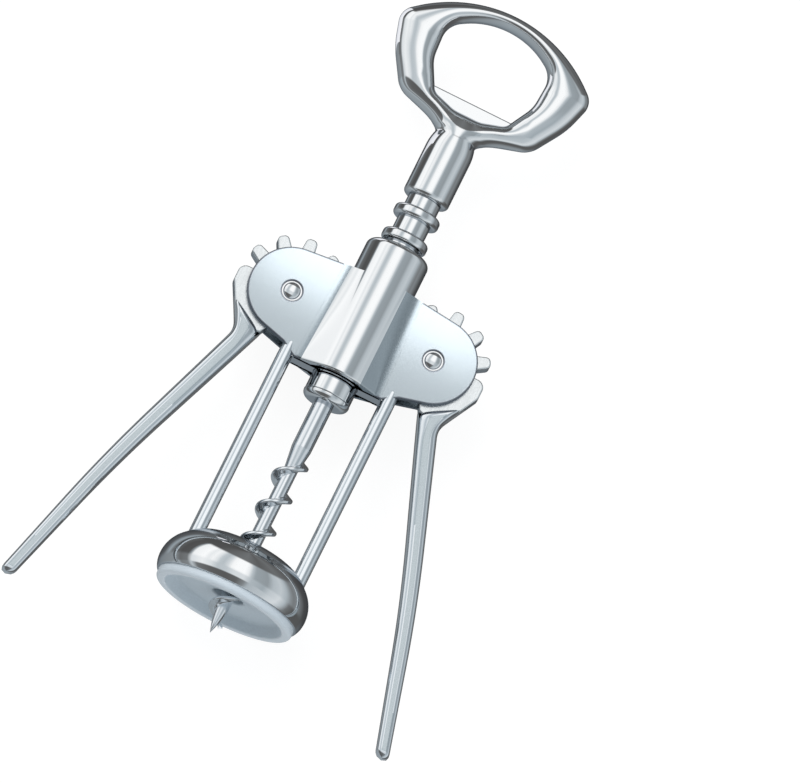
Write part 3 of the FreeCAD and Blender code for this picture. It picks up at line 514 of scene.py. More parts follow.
def joined(*parts):
    """The vertices and faces of several shapes as one."""
    vertices = []
    faces = []
    for part_vertices, part_faces, *_ in parts:
        start = len(vertices)
        vertices += list(part_vertices)
        faces += [tuple(corner + start for corner in face) for face in part_faces]
    return vertices, faces


def settle(piece, body, slot, *nodes):
    """Let a piece ride on its body, and stand for its solids."""
    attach(piece, body)
    if nodes:
        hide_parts(*nodes)
    return piece


# --- Node trees -----------------------------------------------------------------------------------

class Tree:
    """A node tree, with short ways to add nodes and to join them."""

    def __init__(self, tree):
        self.tree = tree

    def join(self, node, links):
        """Give each named input of a node another node's output, or a plain value."""
        for socket, value in links.items():
            if isinstance(value, bpy.types.NodeSocket):
                self.tree.links.new(value, node.inputs[socket])
            else:
                node.inputs[socket].default_value = value
        return node

    def add(self, kind, links=None, **settings):
        """A new node with its settings and inputs."""
        node = self.tree.nodes.new(kind)
        for name, value in settings.items():
            setattr(node, name, value)
        return self.join(node, links or {})

    def result(self, kind, links=None, **settings):
        """The first output of a new node."""
        return self.add(kind, links, **settings).outputs[0]

    def math(self, operation, *values):
        """The result of a math node."""
        return self.result("ShaderNodeMath", dict(enumerate(values)), operation=operation)

    def share(self, value, low, high, **settings):
        """How far a value has come from low to high, from nought to one."""
        links = {"Value": value, "From Min": low, "From Max": high}
        return self.result("ShaderNodeMapRange", links, **settings)

    def mix(self, factor, first, second):
        """A colour between two colours, whose inputs go by number as others share their names."""
        links = {"Factor": factor, 6: first, 7: second}
        return self.add("ShaderNodeMix", links, data_type="RGBA").outputs[2]


class Group(Tree):
    """A node group with named inputs and outputs."""

    def __init__(self, name, kind, inputs, outputs):
        super().__init__(bpy.data.node_groups.new(name, kind))
        for way, sockets in (("INPUT", inputs), ("OUTPUT", outputs)):
            for label, value in sockets.items():
                self.tree.interface.new_socket(label, in_out=way, socket_type=f"NodeSocket{value}")
        self.given = self.add("NodeGroupInput").outputs
        self.sink = self.add("NodeGroupOutput")


class ShapeGroup(Group):
    """A geometry node group that takes and gives a geometry, and sets its material."""

    def __init__(self, name, inputs):
        inputs = {"Geometry": "Geometry", **inputs, "Material": "Material"}
        super().__init__(name, "GeometryNodeTree", inputs, {"Geometry": "Geometry"})
        self.tree.is_modifier = True

    def finish(self, geometry):
        """Realize the result and give it its material."""
        real = self.result("GeometryNodeRealizeInstances", {"Geometry": geometry})
        links = {"Geometry": real, "Material": self.given["Material"]}
        self.join(self.sink, {"Geometry": self.result("GeometryNodeSetMaterial", links)})
        return self.tree


def apply_tree(piece, tree, values):
    """Run a tree on a piece with its named inputs, and keep the result as the piece's own mesh."""
    modifier = piece.modifiers.new(tree.name, "NODES")
    modifier.node_group = tree
    for item in tree.interface.items_tree:
        if item.in_out == "INPUT" and item.name in values:
            modifier[item.identifier] = values[item.name]
    keep_result(piece)


def ring_row_tree():
    """Repeats one ring along the axis."""
    group = ShapeGroup("ring_row", {"Count": "Int", "Pitch": "Float"})
    given = group.given
    offset = group.result("ShaderNodeCombineXYZ", {"Y": given["Pitch"]})
    line = group.result("GeometryNodeMeshLine", {"Count": given["Count"], "Offset": offset})
    return group.finish(group.result("GeometryNodeInstanceOnPoints", {
        "Points": line, "Instance": given["Geometry"]}))


def tooth_wheel_tree():
    """Repeats one tooth about a lever's pin."""
    group = ShapeGroup("tooth_wheel", {"Count": "Int", "First": "Float", "Step": "Float",
                                       "Centre": "Vector"})
    given = group.given
    line = group.result("GeometryNodeMeshLine", {
        "Count": given["Count"], "Start Location": given["Centre"], "Offset": (0.0, 0.0, 0.0)})
    number = group.result("GeometryNodeInputIndex")
    turn = group.math("MULTIPLY_ADD", number, given["Step"], given["First"])
    return group.finish(group.result("GeometryNodeInstanceOnPoints", {
        "Points": line, "Instance": given["Geometry"],
        "Rotation": group.result("ShaderNodeCombineXYZ", {"Z": turn})}))


def helix_tree():
    """Wraps a straight strip (turns, height in the section, radius) round the axis as a flight."""
    group = ShapeGroup("helix_wrap", dict.fromkeys(
        ("Start", "Pitch", "Core", "Top", "Fade", "Tip", "Point"), "Float"))
    given = group.given
    run_out = 0.75
    place = group.result("GeometryNodeInputPosition")
    strip = group.add("ShaderNodeSeparateXYZ", {0: place}).outputs
    angle = group.math("MULTIPLY", strip["X"], TURN)
    rise = group.math("MULTIPLY_ADD", strip["X"], given["Pitch"], given["Start"])
    below_top = group.math("DIVIDE", group.math("SUBTRACT", given["Top"], rise), given["Fade"])
    above_tip = group.math("DIVIDE", group.math("SUBTRACT", rise, given["Tip"]), given["Point"])
    share = group.math("MINIMUM", below_top, above_tip)
    share = group.math("MINIMUM", group.math("MAXIMUM", share, 0.0), 1.0)
    share = group.math("POWER", share, run_out)
    height = group.math("MULTIPLY_ADD", strip["Y"], share, rise)
    radius = group.math("SUBTRACT", strip["Z"], given["Core"])
    radius = group.math("MULTIPLY_ADD", radius, share, given["Core"])
    across = group.math("MULTIPLY", radius, group.math("COSINE", angle))
    depth = group.math("MULTIPLY", radius, group.math("SINE", angle))
    depth = group.math("MULTIPLY", depth, -1.0)
    wrapped = group.result("ShaderNodeCombineXYZ", {"X": across, "Y": height, "Z": depth})
    return group.finish(group.result("GeometryNodeSetPosition", {
        "Geometry": given["Geometry"], "Position": wrapped}))


# --- Finishes -------------------------------------------------------------------------------------

def grain_group():
    """Fine blasted grain: a height, and a mask of its brighter specks."""
    group = Group("satin_grain", "ShaderNodeTree", {"Position": "Vector", "Grain": "Float"},
                  {"Height": "Float", "Specks": "Float"})
    scale = group.math("DIVIDE", 1 / MM, group.given["Grain"])
    fine = group.result("ShaderNodeTexNoise", {
        "Vector": group.given["Position"], "Scale": scale, "Detail": 2.0})
    group.join(group.sink, {"Height": fine, "Specks": group.share(fine, 0.35, 0.75)})
    return group.tree


def handling_group():
    """Traces of handling on polish: slow haze, and hairlines along the axis."""
    group = Group("handling_haze", "ShaderNodeTree",
                  {"Position": "Vector", "Low": "Float", "High": "Float"},
                  {"Roughness": "Float", "Height": "Float"})
    given = group.given
    slow = group.result("ShaderNodeTexNoise", {
        "Vector": given["Position"], "Scale": 90.0, "Detail": 3.0})
    stretched = group.result("ShaderNodeMapping", {
        "Vector": given["Position"], "Scale": (2600.0, 160.0, 2600.0)})
    lines = group.result("ShaderNodeTexNoise", {"Vector": stretched, "Scale": 1.0, "Detail": 1.0})
    spread = group.result("ShaderNodeMapRange", {
        "Value": group.math("MULTIPLY", slow, lines), "From Min": 0.15, "From Max": 0.42,
        "To Min": given["Low"], "To Max": given["High"]})
    group.join(group.sink, {"Roughness": spread, "Height": slow})
    return group.tree


def shared_group(tree, name, build, links):
    """The outputs of a node group that is built once, placed in a material with its own values."""
    group = bpy.data.node_groups.get(name) or build()
    return tree.add("ShaderNodeGroup", links, node_tree=group).outputs


def finish_material(name, base, roughness, haze, own, grain=0.0, grain_size=0.3, speck=0.07,
                    ripple=0.0):
    """A finish with traces of handling, and with ripple or grain where their strength is given."""
    known = bpy.data.materials.get(name)
    if known:
        return known
    material = bpy.data.materials.new(name)
    material.use_nodes = True
    tree = Tree(material.node_tree)
    place = tree.add("ShaderNodeTexCoord").outputs["Object"]
    hazy = shared_group(tree, "handling_haze", handling_group, {
        "Position": place, "Low": roughness, "High": roughness + haze})
    look = {"Base Color": (*base, 1.0), "Roughness": hazy["Roughness"], **own}
    bumps = []
    if ripple:
        bumps.append((hazy["Height"], ripple, 0.2 * MM))
    if grain:
        grainy = shared_group(tree, "satin_grain", grain_group, {
            "Position": place, "Grain": grain_size})
        bumps.append((grainy["Height"], grain, 0.1 * MM))
        dull, bright = ((*[min(1.0, part * share) for part in base], 1.0)
                        for share in (1 - speck, 1 + speck))
        look["Base Color"] = tree.mix(grainy["Specks"], dull, bright)
    for height, strength, distance in bumps:
        links = {"Height": height, "Strength": strength, "Distance": distance}
        if "Normal" in look:
            links["Normal"] = look["Normal"]
        look["Normal"] = tree.result("ShaderNodeBump", links)
    tree.join(material.node_tree.nodes["Principled BSDF"], look)
    return material


def metal(name, base, roughness, haze, rim=EDGE_TINT, **traces):
    """A metal finish, with an edge-on tint: a real feature of metals, set far darker here to paint
    dark reflections along the outline.
    """
    own = {"Metallic": 1.0, "Specular Tint": (*rim, 1.0)}
    return finish_material(name, base, roughness, haze, own, **traces)


def plastic(name, base, roughness):
    """Moulded plastic with a faint texture."""
    return finish_material(name, base, roughness, 0.1, {"IOR": 1.5}, grain=0.12, grain_size=0.5,
                           speck=0.04)


class Finishes:
    """The materials of the object, made from the scene's finish settings."""

    def __init__(self):
        look = bpy.context.scene.corkscrew_finish
        self.polished = metal("polished_chrome", look.chrome, look.chrome_roughness, haze=0.02)
        self.satin = metal("satin_chrome", look.satin, look.satin_roughness, haze=0.015,
                           grain=0.10, grain_size=0.2)
        self.brushed = metal("brushed_chrome", look.brushed, 0.13, haze=0.02, grain=0.06)
        # The levers and legs take the darkest edge-on tint: painted dark reflections along their
        # outlines.
        self.lever = metal("lever_chrome", look.chrome, look.chrome_roughness + 0.02, haze=0.03,
                           ripple=0.15, rim=DARK_TINT)
        # Dark chrome for the plates' rims: painted dark reflections.
        self.edge = metal("edge_chrome", look.edge, look.satin_roughness, haze=0.02)
        self.gear = metal("gear_chrome", look.gear, 0.24, haze=0.08, grain=0.2)
        self.steel = metal("worm_steel", look.steel, look.steel_roughness, haze=0.06, ripple=0.6)
        self.liner = plastic("liner_plastic", look.liner, look.liner_roughness)
        # A darker copy of the liner's plastic: painted shade in the bottle seat.
        self.seat = plastic("seat_plastic", look.seat, look.liner_roughness)


# --- Frame casting --------------------------------------------------------------------------------

def bow_radius(span, rise):
    """Radius of a circular bow that rises by a given amount over its span."""
    return (span ** 2 + rise ** 2) / (2 * rise)


def barrel_radius_at(size, height):
    """Outer radius of the barrel at a height above the pins."""
    if height >= size.flare_start:
        return size.barrel_radius
    bow = bow_radius(size.flare_start + size.plate_bottom, size.flare_radius - size.barrel_radius)
    return size.barrel_radius + bow - math.sqrt(bow ** 2 - (size.flare_start - height) ** 2)


def barrel_corners(size):
    """Profile of the barrel, from the inner foot outwards and up; flanks cover its lower part."""
    covered = size.barrel_radius - 0.1
    bevel = 0.35
    foot = size.pin_height - size.plate_bottom
    step = size.pin_height + size.plate_top - 1.0
    top = size.pin_height + size.barrel_top
    return [(size.bore_radius, foot + bevel), (size.bore_radius + bevel, foot),
            (covered, foot), (covered, step), (size.barrel_radius, step),
            (size.barrel_radius, top, size.barrel_round - 0.2), (size.bore_radius, top, bevel)]


def plate_corners(size):
    """Outline of the cheek plates, anticlockwise from the axis to the left."""
    leg_corner, barrel_corner = 1.2, 1.0
    top = size.pin_height + size.plate_top
    inside = size.leg_offset - size.leg_width / 2
    flank = (size.leg_offset + size.leg_width / 2, size.pin_height - size.flank_drop)
    right = [(inside, size.pin_height - size.plate_bottom, leg_corner), (*flank, leg_corner)]
    right += pod_corners(size, flank, (size.barrel_radius, top))
    return mirrored(right + [(size.barrel_radius, top, barrel_corner)])


def pod_corners(size, lower, upper):
    """Corners whose rounding is the pod about a pin: where the tangents to the pod meet."""
    pin = Vector((size.pin_offset, size.pin_height))
    first = tangent_angle(pin, Vector(lower), size.pod_radius, -1)
    last = tangent_angle(pin, Vector(upper), size.pod_radius, 1)
    while last < first:
        last += TURN
    parts = 3
    corners = []
    for part in range(parts):
        middle = first + (last - first) * (part + 0.5) / parts
        reach = size.pod_radius / math.cos((last - first) / parts / 2)
        place = pin + Vector((math.cos(middle), math.sin(middle))) * reach
        corners.append((place.x, place.y, size.pod_radius))
    return corners


def tangent_angle(centre, point, radius, side):
    """Angle about a centre at which a line from an outside point touches a circle."""
    gap = point - centre
    return math.atan2(gap.y, gap.x) - side * math.acos(radius / gap.length)


def web_corners(size):
    """Outline of the solid web between the cheek plates, from the barrel to the gears' slots."""
    slot = 16.0
    inside = 4.0
    bottom = size.pin_height - size.plate_bottom + 0.02
    top = size.pin_height + size.plate_top - 0.2
    corners = [(inside, bottom), (12.5, bottom, 1.0), (15.8, bottom + 0.75)]
    for angle in map(math.radians, range(254, 129, -8)):
        corners.append((size.pin_offset + slot * math.cos(angle),
                        size.pin_height + slot * math.sin(angle)))
    return corners + [(8.6, top), (inside, top)]


def crease_at(size, height):
    """Distance from the axis of the edge between the barrel's flank and the hollow."""
    share = (size.flare_start - height) / (size.flare_start + size.plate_bottom)
    return size.crease_top + (size.crease_foot - size.crease_top) * share


def flank_heights(size, height, across):
    """How far the front of the casting stands out at one height, from the barrel to the plates."""
    steep_top, steep_foot, hollow_slope = 42.5, 36.0, 17.0
    grid = 0.02
    share = (size.flare_start - height) / (size.flare_start + size.plate_bottom)
    crease = crease_at(size, height)
    reach = crease + size.hollow_width
    eased = (steep_top - steep_foot) * min(1.0, max(0.0, share * 2.0))
    steep = math.radians(steep_top - eased)
    hollow = math.tan(math.radians(hollow_slope))
    turn = size.barrel_radius * math.sin(steep)
    middles = np.arange(0.0, reach, grid) + grid / 2
    slopes = np.tan(np.arcsin(np.minimum(middles / size.barrel_radius, math.sin(steep))))
    along = np.clip((middles - turn) / (crease - turn), 0.0, 1.0)
    outer = hollow * np.clip((reach - middles) / size.hollow_width, 0.0, 1.0)
    # A hair proud of the barrel above, and a hair into the plates beside.
    front = barrel_radius_at(size, height) + 0.004
    drop = front - size.plate_depth / 2 + 0.005
    # The flank's bend is found by halving: it has to end exactly on the plates.
    low, high, halvings = -4.0, 6.0, 40
    for _ in range(halvings):
        power = (low + high) / 2
        bent = hollow + (math.tan(steep) - hollow) * (1 - along ** math.exp(power))
        profile = np.where(middles > crease, outer, np.where(middles > turn, bent, slopes))
        if profile.sum() * grid < drop:
            low = power
        else:
            high = power
    fallen = np.concatenate([[0.0], np.cumsum(profile) * grid])
    places = np.arange(len(fallen)) * grid
    return front - np.interp(np.abs(across), places, fallen) * drop / fallen[-1]


def casting_strip(size, facing, name):
    """One closed strip of the casting's front or back, between its cheek plates."""
    rows, bends = 44, 5
    lip = size.lip_round
    inner = size.plate_depth / 2 - size.sheet
    foot = -size.plate_bottom
    bevel = [math.pi / 2 * step / bends for step in range(bends, -1, -1)]
    levels = [(foot + lip * (1 - math.sin(angle)), lip * (1 - math.cos(angle))) for angle in bevel]
    levels += [(height, 0.0)
               for height in np.linspace(foot + lip + SUPPORT, size.plate_top - 0.06, rows)]
    sections = []
    for height, sunk in levels:
        fall = size.top_slope * ((height - foot) / (size.plate_top - foot))
        crease = crease_at(size, height)
        reach = crease + size.hollow_width
        first, last, count = {"left_hollow": (-reach, -crease, 18),
                              "barrel_flank": (-crease, size.strip_edge, 110),
                              "right_hollow": (size.strip_edge, reach, 48)}[name]
        across = np.linspace(first, last, count)
        out = flank_heights(size, max(height, foot + 0.2), across) - sunk
        loop = list(zip(across, out))
        loop += [(last, inner), ((first + last) / 2, inner), (first, inner)]
        sections.append([
            (x, size.pin_height + height - fall * max(0.0, abs(x) - size.barrel_radius), z * facing)
            for x, z in loop])
    return swept(sections)


def build_frame(finish):
    """Barrel, cheek plates, web, hollows and legs."""
    size = Sizes("frame")
    barrel = lathe("barrel", barrel_corners(size), True, [finish.polished], segments=192)
    settle(barrel, "frame", "frame_chrome", "frame_casting")
    pins = [(size.pin_offset * way, size.pin_height) for _, way in SIDES]
    # A hair wider than the bore, from under the plates to just below the barrel's top.
    bore = drum(size.bore_radius + 0.02, size.pin_height - size.plate_bottom - 4.0,
                size.pin_height + size.barrel_top - 1.0, segments=192)
    build_cheeks(size, finish, pins, bore)
    build_web(size, finish, bore)
    build_flanks(size, finish, bore)
    build_legs(size, finish, pins)


def build_cheeks(size, finish, pins, bore):
    """Cheek plates, and the floors of the recesses round the pins' heads."""
    hidden_round = 0.02
    outline = trace(plate_corners(size), True, step=2.5)
    holes = [ring_outline(x, y, size.recess_radius) for x, y in pins]
    face = size.plate_depth / 2
    inner = face - size.sheet
    for side, way in FACES:
        low, high = sorted((inner * way, face * way))
        rounds = (hidden_round, size.plate_round)[::way]
        vertices, faces, marks = slab_data([outline] + holes, rim_rings(low, high, *rounds))
        # Rim faces get the dark rim colour: painted dark reflections along the plates' outlines.
        plate = new_piece(f"{side}_cheek_plate", vertices, faces, [finish.satin, finish.edge],
                          marks)
        hollow_out(plate, [bore])
        settle(plate, "frame", "frame_chrome")
        floors = [drum(size.recess_radius + 0.05, inner * way, (face - size.recess_depth) * way,
                       segments=72, centre=pin, along="Z") for pin in pins]
        discs = new_piece(f"{side}_recess_floors", *joined(*floors), [finish.polished])
        settle(discs, "frame", "frame_chrome")


def build_web(size, finish, bore):
    """The solid web between the plates, hollowed where the rack and the neck slide."""
    half = size.plate_depth / 2 - size.sheet + 1.2
    outline = trace(web_corners(size), True, step=5)
    rings = rim_rings(-half, half, 0.05, 0.05, parts=1)
    webs = [slab_data([sided(outline, way)], rings) for _, way in SIDES]
    web = new_piece("casting_web", *joined(*webs), [finish.polished])
    hollow_out(web, [bore])
    settle(web, "frame", "frame_chrome")


def build_flanks(size, finish, bore):
    """The barrel's flank and the hollow on each side of it, front and back."""
    parts = (("left_hollow", finish.satin), ("barrel_flank", finish.polished),
             ("right_hollow", finish.satin))
    for side, facing in FACES:
        for name, look in parts:
            skin = new_piece(f"{side}_{name}", *casting_strip(size, facing, name), [look])
            if name == "barrel_flank":
                hollow_out(skin, [bore])
            settle(skin, "frame", "frame_chrome")


def build_legs(size, finish, pins):
    """Legs from the base ring up between the plates, hollowed where the teeth turn."""
    base, lever = Sizes("base"), Sizes("lever")
    crisp = 60.0
    half, face, soft = size.leg_width / 2, size.plate_depth / 2, size.leg_round
    section = [(-half, -face, soft), (half, -face, soft), (half, face, soft), (-half, face, soft)]
    loop = trace(section, True, step=10)[0]
    # Height, share of the leg's width, and share of its depth.
    levels = ((base.ring_ceiling + base.ring_wall / 2, 1.0, 1.03), (60.0, 1.0, 1.03),
              (66.5, 1.0, 1.03), (68.6, 0.97, 1.03), (70.4, 0.88, 1.0))
    bars = [swept([[((size.leg_offset + point.x * wide) * way, height, point.y * deep)
                    for point in loop] for height, wide, deep in levels]) for _, way in SIDES]
    legs = new_piece("legs", *joined(*bars), [finish.lever], sharp=crisp)
    # Past the tips of the teeth, and beside their faces.
    width = lever.gear_depth / 2 + 0.1
    sweeps = [drum(lever.tooth_tip + 0.25, -width, width, segments=192, centre=pin, along="Z")
              for pin in pins]
    hollow_out(legs, sweeps, crisp)
    settle(legs, "frame", "frame_chrome")


# --- Base -----------------------------------------------------------------------------------------

def base_ring_corners(size):
    """Profile of the base ring, from its inner foot outwards and up."""
    inner = size.foot_radius - size.ring_wall
    corners = [(inner, size.ring_foot), (size.foot_radius, size.ring_foot, 0.35)]
    drop = size.ring_equator - size.ring_foot
    bow = bow_radius(drop, size.ring_radius - size.foot_radius)
    parts = 8
    for part in range(1, parts + 1):
        height = size.ring_foot + drop * part / parts
        away = size.ring_equator - height
        corners.append((size.ring_radius - bow + math.sqrt(bow ** 2 - away ** 2), height))
    return corners + [(size.ring_radius, size.ring_bend, size.ring_swell),
                      (size.ring_brow, size.ring_top, size.ring_crown),
                      (size.ring_mouth, size.ring_top, 0.5),
                      (size.ring_mouth, size.ring_ceiling, 0.8), (inner, size.ring_ceiling)]


def build_base(finish):
    """Base ring and its liner."""
    size = Sizes("base")
    ring = lathe("base_ring", base_ring_corners(size), True, [finish.polished], segments=224,
                 step=3.0)
    settle(ring, "frame", "frame_chrome")
    rim_width, floor_sheet, skirt_top, skirt_sheet = 2.4, 2.6, 9.0, 1.8
    skirt = size.foot_radius - size.ring_wall - 0.02
    back = size.seat_depth + floor_sheet
    corners = [(size.worm_hole, back), (size.worm_hole, size.seat_depth, 0.6),
               (size.floor_radius, size.seat_depth, 1.2), (size.rim_radius - rim_width, 0.0, 0.7),
               (size.rim_radius, 0.0, 1.0), (size.rim_radius, size.ring_foot),
               (skirt, size.ring_foot), (skirt, skirt_top), (skirt - skirt_sheet, skirt_top),
               (skirt - skirt_sheet, back)]
    liner = lathe("base_liner_turned", corners, True, [finish.liner, finish.seat], segments=192)
    # Faces inside the rim get the darker copy: painted shade in the seat's recess.
    for polygon in liner.data.polygons:
        radius = math.hypot(polygon.center.x, polygon.center.z) / MM
        polygon.material_index = int(radius < size.rim_radius - rim_width - 0.2)
    settle(liner, "frame", "liner_plastic", "base_liner")


# --- Rack, collar and lever pins ------------------------------------------------------------------

def solid_box(name):
    """Corners of one of the solid model's nodes, in millimetres."""
    return [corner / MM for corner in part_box(name)]


def build_rack(finish):
    """Rack tube with its rings, and the collar under it."""
    size = Sizes("rack")
    half = size.ring_width / 2
    tube_bevel, collar_bevel, overlap = 0.25, 0.2, 0.6
    low, high = solid_box("rack_sleeve")
    nose_top = size.first_ring - size.pitch + half
    corners = [(size.bore, low.y), (size.radius, low.y, tube_bevel),
               (size.radius, nose_top, size.ring_round), (size.root, nose_top),
               (size.root, high.y), (size.bore, high.y)]
    tube = lathe("rack_tube", corners, True, [finish.polished])
    settle(tube, "rack", "rack_chrome", "rack_sleeve")
    sunk = size.root - overlap
    below, above = size.first_ring - half, size.first_ring + half
    profile = [(sunk, below), (size.radius, below, size.ring_round),
               (size.radius, above, size.ring_round), (sunk, above)]
    rings = lathe("rack_rings", profile, True, [finish.polished], segments=128, step=9.0)
    apply_tree(rings, ring_row_tree(), {"Count": size.ring_count, "Pitch": size.pitch * MM,
                                        "Material": finish.polished})
    settle(rings, "rack", "rack_chrome")

    low, high = solid_box("worm_collar")
    bore = Sizes("worm").shank + 0.01
    corners = [(bore, low.y), (high.x, low.y, size.collar_round), (high.x, high.y, collar_bevel),
               (bore, high.y)]
    collar = lathe("worm_collar_turned", corners, True, [finish.polished])
    settle(collar, "handle", "collar_chrome", "worm_collar")


def build_pins(finish):
    """Domed lever pins and the cross pin."""
    frame_size, size = Sizes("frame"), Sizes("lever")
    floor = frame_size.plate_depth / 2 - frame_size.recess_depth
    skirt, rings, bevel = 0.12, 13, 0.2
    edge = floor + skirt
    dome = floor + size.pin_dome - edge
    half = [(size.pin_head * math.sin(turn), edge + dome * math.cos(turn))
            for turn in np.linspace(0, math.pi / 2, rings)]
    half += [(size.pin_head, floor), (size.pin_radius, floor)]
    corners = half + [(radius, -height) for radius, height in reversed(half)]
    for side, way in SIDES:
        pin = lathe(f"{side}_domed_pin", corners, False, [finish.polished], segments=96, step=8.0,
                    centre=(frame_size.pin_offset * way, frame_size.pin_height), along="Z")
        settle(pin, "frame", "pin_steel", f"{side}_lever_pin")
    low, high = solid_box("cross_pin")
    radius = (high.y - low.y) / 2
    corners = [(0.0, low.x), (radius, low.x, bevel), (radius, high.x, bevel), (0.0, high.x)]
    pin = lathe("cross_pin_turned", corners, False, [finish.steel], segments=48,
                centre=((high.y + low.y) / 2, 0.0), along="X")
    settle(pin, "handle", "pin_steel", "cross_pin")


# --- Worm -----------------------------------------------------------------------------------------

def build_worm(finish):
    """Shank and core, and the flight that winds round it."""
    size = Sizes("worm")
    pins = Sizes("frame").pin_height
    tip = pins - size.tip
    top = pins - size.flight_top
    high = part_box("worm")[1].y / MM
    point_round, neck, neck_round, bevel = 30.0, 6.0, 3.0, 0.3
    corners = [(0.0, tip), (size.core, tip + size.point * 0.6, point_round),
               (size.core, top - neck, neck_round), (size.shank, top, neck_round),
               (size.shank, high, bevel), (0.0, high)]
    core = lathe("worm_shank", corners, False, [finish.steel], segments=96, step=3.0)
    settle(core, "handle", "worm_steel", "worm")

    # The strip starts five turns below the first crest, and is faded where it passes either end.
    turns, turns_below, stations = 5.45, 5, 380
    inner = size.core - 0.5
    root, edge = size.root_width / 2, size.edge_width / 2
    waist, waist_radius, waist_round, edge_round = root * 0.62, size.core + 0.55, 1.2, edge * 0.9
    section = [(-root, inner), (-waist, waist_radius, waist_round),
               (-edge, size.radius, edge_round), (edge, size.radius, edge_round),
               (waist, waist_radius, waist_round), (root, inner)]
    loop = trace(section, True, step=15)[0]
    vertices = [(turns * station / stations / MM, point.x, point.y)
                for station in range(stations + 1) for point in loop]
    faces = quads_between(stations + 1, len(loop), False, True)
    flight = new_piece("worm_flight", vertices, faces, [finish.steel])
    start = pins - size.first_crest - size.pitch * turns_below
    apply_tree(flight, helix_tree(), {
        "Start": start * MM, "Pitch": size.pitch * MM, "Core": (inner - 0.2) * MM,
        "Top": (top + 2.0) * MM, "Fade": 5.5 * MM, "Tip": tip * MM, "Point": size.point * MM,
        "Material": finish.steel})
    close_mesh(flight.data)
    settle(flight, "handle", "worm_steel")


# --- Levers ---------------------------------------------------------------------------------------

# Out and up from the pin: the arm's outer and inner edges, its two ends, and the hub's heel.
ARM_OUTER = ((12.9, -7.2), (8.9, -14.8, 6.0), (24.8, -60.0, 420.0), (35.6, -100.0))
ARM_INNER = ((2.4, -13.4), (20.0, -60.0, 420.0), (31.8, -100.0))
ARM_TOP, ARM_END = -13.4, -100.0
HEEL = ((0.0, -8.0, 1.0), (2.6, -13.2, 1.0), (8.9, -14.6, 1.5), (14.8, -3.4, 2.2),
        (14.8, 1.3, 2.2), (0.0, 1.3, 1.0))


def even_points(corners, count):
    """Points at even distances along an open path."""
    points = trace(corners, False, step=3.0, longest=1.0)[0]
    reach = [0.0]
    for first, last in zip(points, points[1:]):
        reach.append(reach[-1] + (last - first).length)
    places = np.linspace(0.0, reach[-1], count)
    return np.stack([np.interp(places, reach, [point.x for point in points]),
                     np.interp(places, reach, [point.y for point in points])], axis=1)


def arm_sections(size):
    """Sections of a lever's arm from its shoulder to its tip, out and up from the pin."""
    stations, squareness = 140, 3.3
    shoulder, shoulder_half, tip_round, blunt = 2.2, 2.35, 1.9, 0.25
    outside = even_points(ARM_OUTER, stations)
    inside = even_points(ARM_INNER, stations)
    sections = []
    for near, far in zip(inside, outside):
        middle = (near + far) / 2
        share = min(1.0, max(0.0, (ARM_TOP - middle[1]) / (ARM_TOP - ARM_END)))
        half = (size.arm_depth * (1 - share) + size.tip_depth * share) / 2
        from_start = np.hypot(*(middle - (inside[0] + outside[0]) / 2))
        if from_start < shoulder:
            bulge = math.sqrt(1 - (1 - from_start / shoulder) ** 2)
            half = shoulder_half + (half - shoulder_half) * bulge
        reach = (far - near) / 2
        to_tip = middle[1] - ARM_END
        if to_tip < tip_round:
            squeeze = math.sqrt(max(0.0, 1 - (1 - to_tip / tip_round) ** 2))
            reach = reach * squeeze
            half *= blunt + (1 - blunt) * squeeze
        sections.append(oval(middle, reach, half, squareness))
    return sections


def oval(middle, reach, half, power):
    """A rounded section: across by a reach in the plane, and a half depth."""
    count = 48
    points = []
    for index in range(count):
        angle = TURN * index / count
        across = math.copysign(abs(math.cos(angle)) ** (2 / power), math.cos(angle))
        depth = math.copysign(abs(math.sin(angle)) ** (2 / power), math.sin(angle))
        place = middle + reach * across
        points.append((place[0], place[1], half * depth))
    return points


def build_levers(finish):
    """Arms, hubs with heels, and teeth of both levers."""
    frame_size, size = Sizes("frame"), Sizes("lever")
    flat, rim, root_half, tip_half, root_round = 0.992, 0.4, 2.0, 1.42, 0.5
    sections = arm_sections(size)
    half = size.gear_depth / 2
    rims = rim_rings(-half, half, rim, rim)
    bore = size.pin_radius + 0.05
    hub_corners = [(bore, -half), (size.hub_radius, -half, rim), (size.hub_radius, half, rim),
                   (bore, half)]
    root = size.hub_radius - 0.8
    tooth = trace([(root, -root_half, root_round), (size.tooth_tip, -tip_half, size.tooth_round),
                   (size.tooth_tip, tip_half, size.tooth_round), (root, root_half, root_round)],
                  True, step=12)
    wheel = tooth_wheel_tree()
    for side, way in SIDES:
        body = f"{side}_lever"
        pin = Vector((frame_size.pin_offset * way, frame_size.pin_height))
        placed = [[(pin.x + x * way, pin.y + y, z) for x, y, z in section] for section in sections]
        arm = new_piece(f"{side}_arm", *swept(placed), [finish.lever, finish.brushed], sharp=50.0)
        for face in arm.data.polygons:
            face.material_index = int(abs(face.normal.z) > flat)
        settle(arm, body, "lever_chrome", body)

        heel = slab_data([sided(trace(HEEL, True, step=8), way, pin)], rims)
        disc = lathe_data(hub_corners, True, segments=128, centre=tuple(pin), along="Z")
        hub = new_piece(f"{side}_hub", *joined(heel, disc), [finish.gear])
        settle(hub, body, "lever_chrome")

        teeth = new_piece(f"{side}_teeth", *joined(slab_data([tooth], rims)), [finish.gear])
        first, step = size.tooth_first, size.tooth_step
        if way < 0:
            first, step = math.pi - first, -step
        apply_tree(teeth, wheel, {"Count": size.tooth_count, "First": first, "Step": step,
                                  "Centre": (pin.x * MM, pin.y * MM, 0.0), "Material": finish.gear})
        settle(teeth, body, "lever_chrome")


# --- Opener head ----------------------------------------------------------------------------------

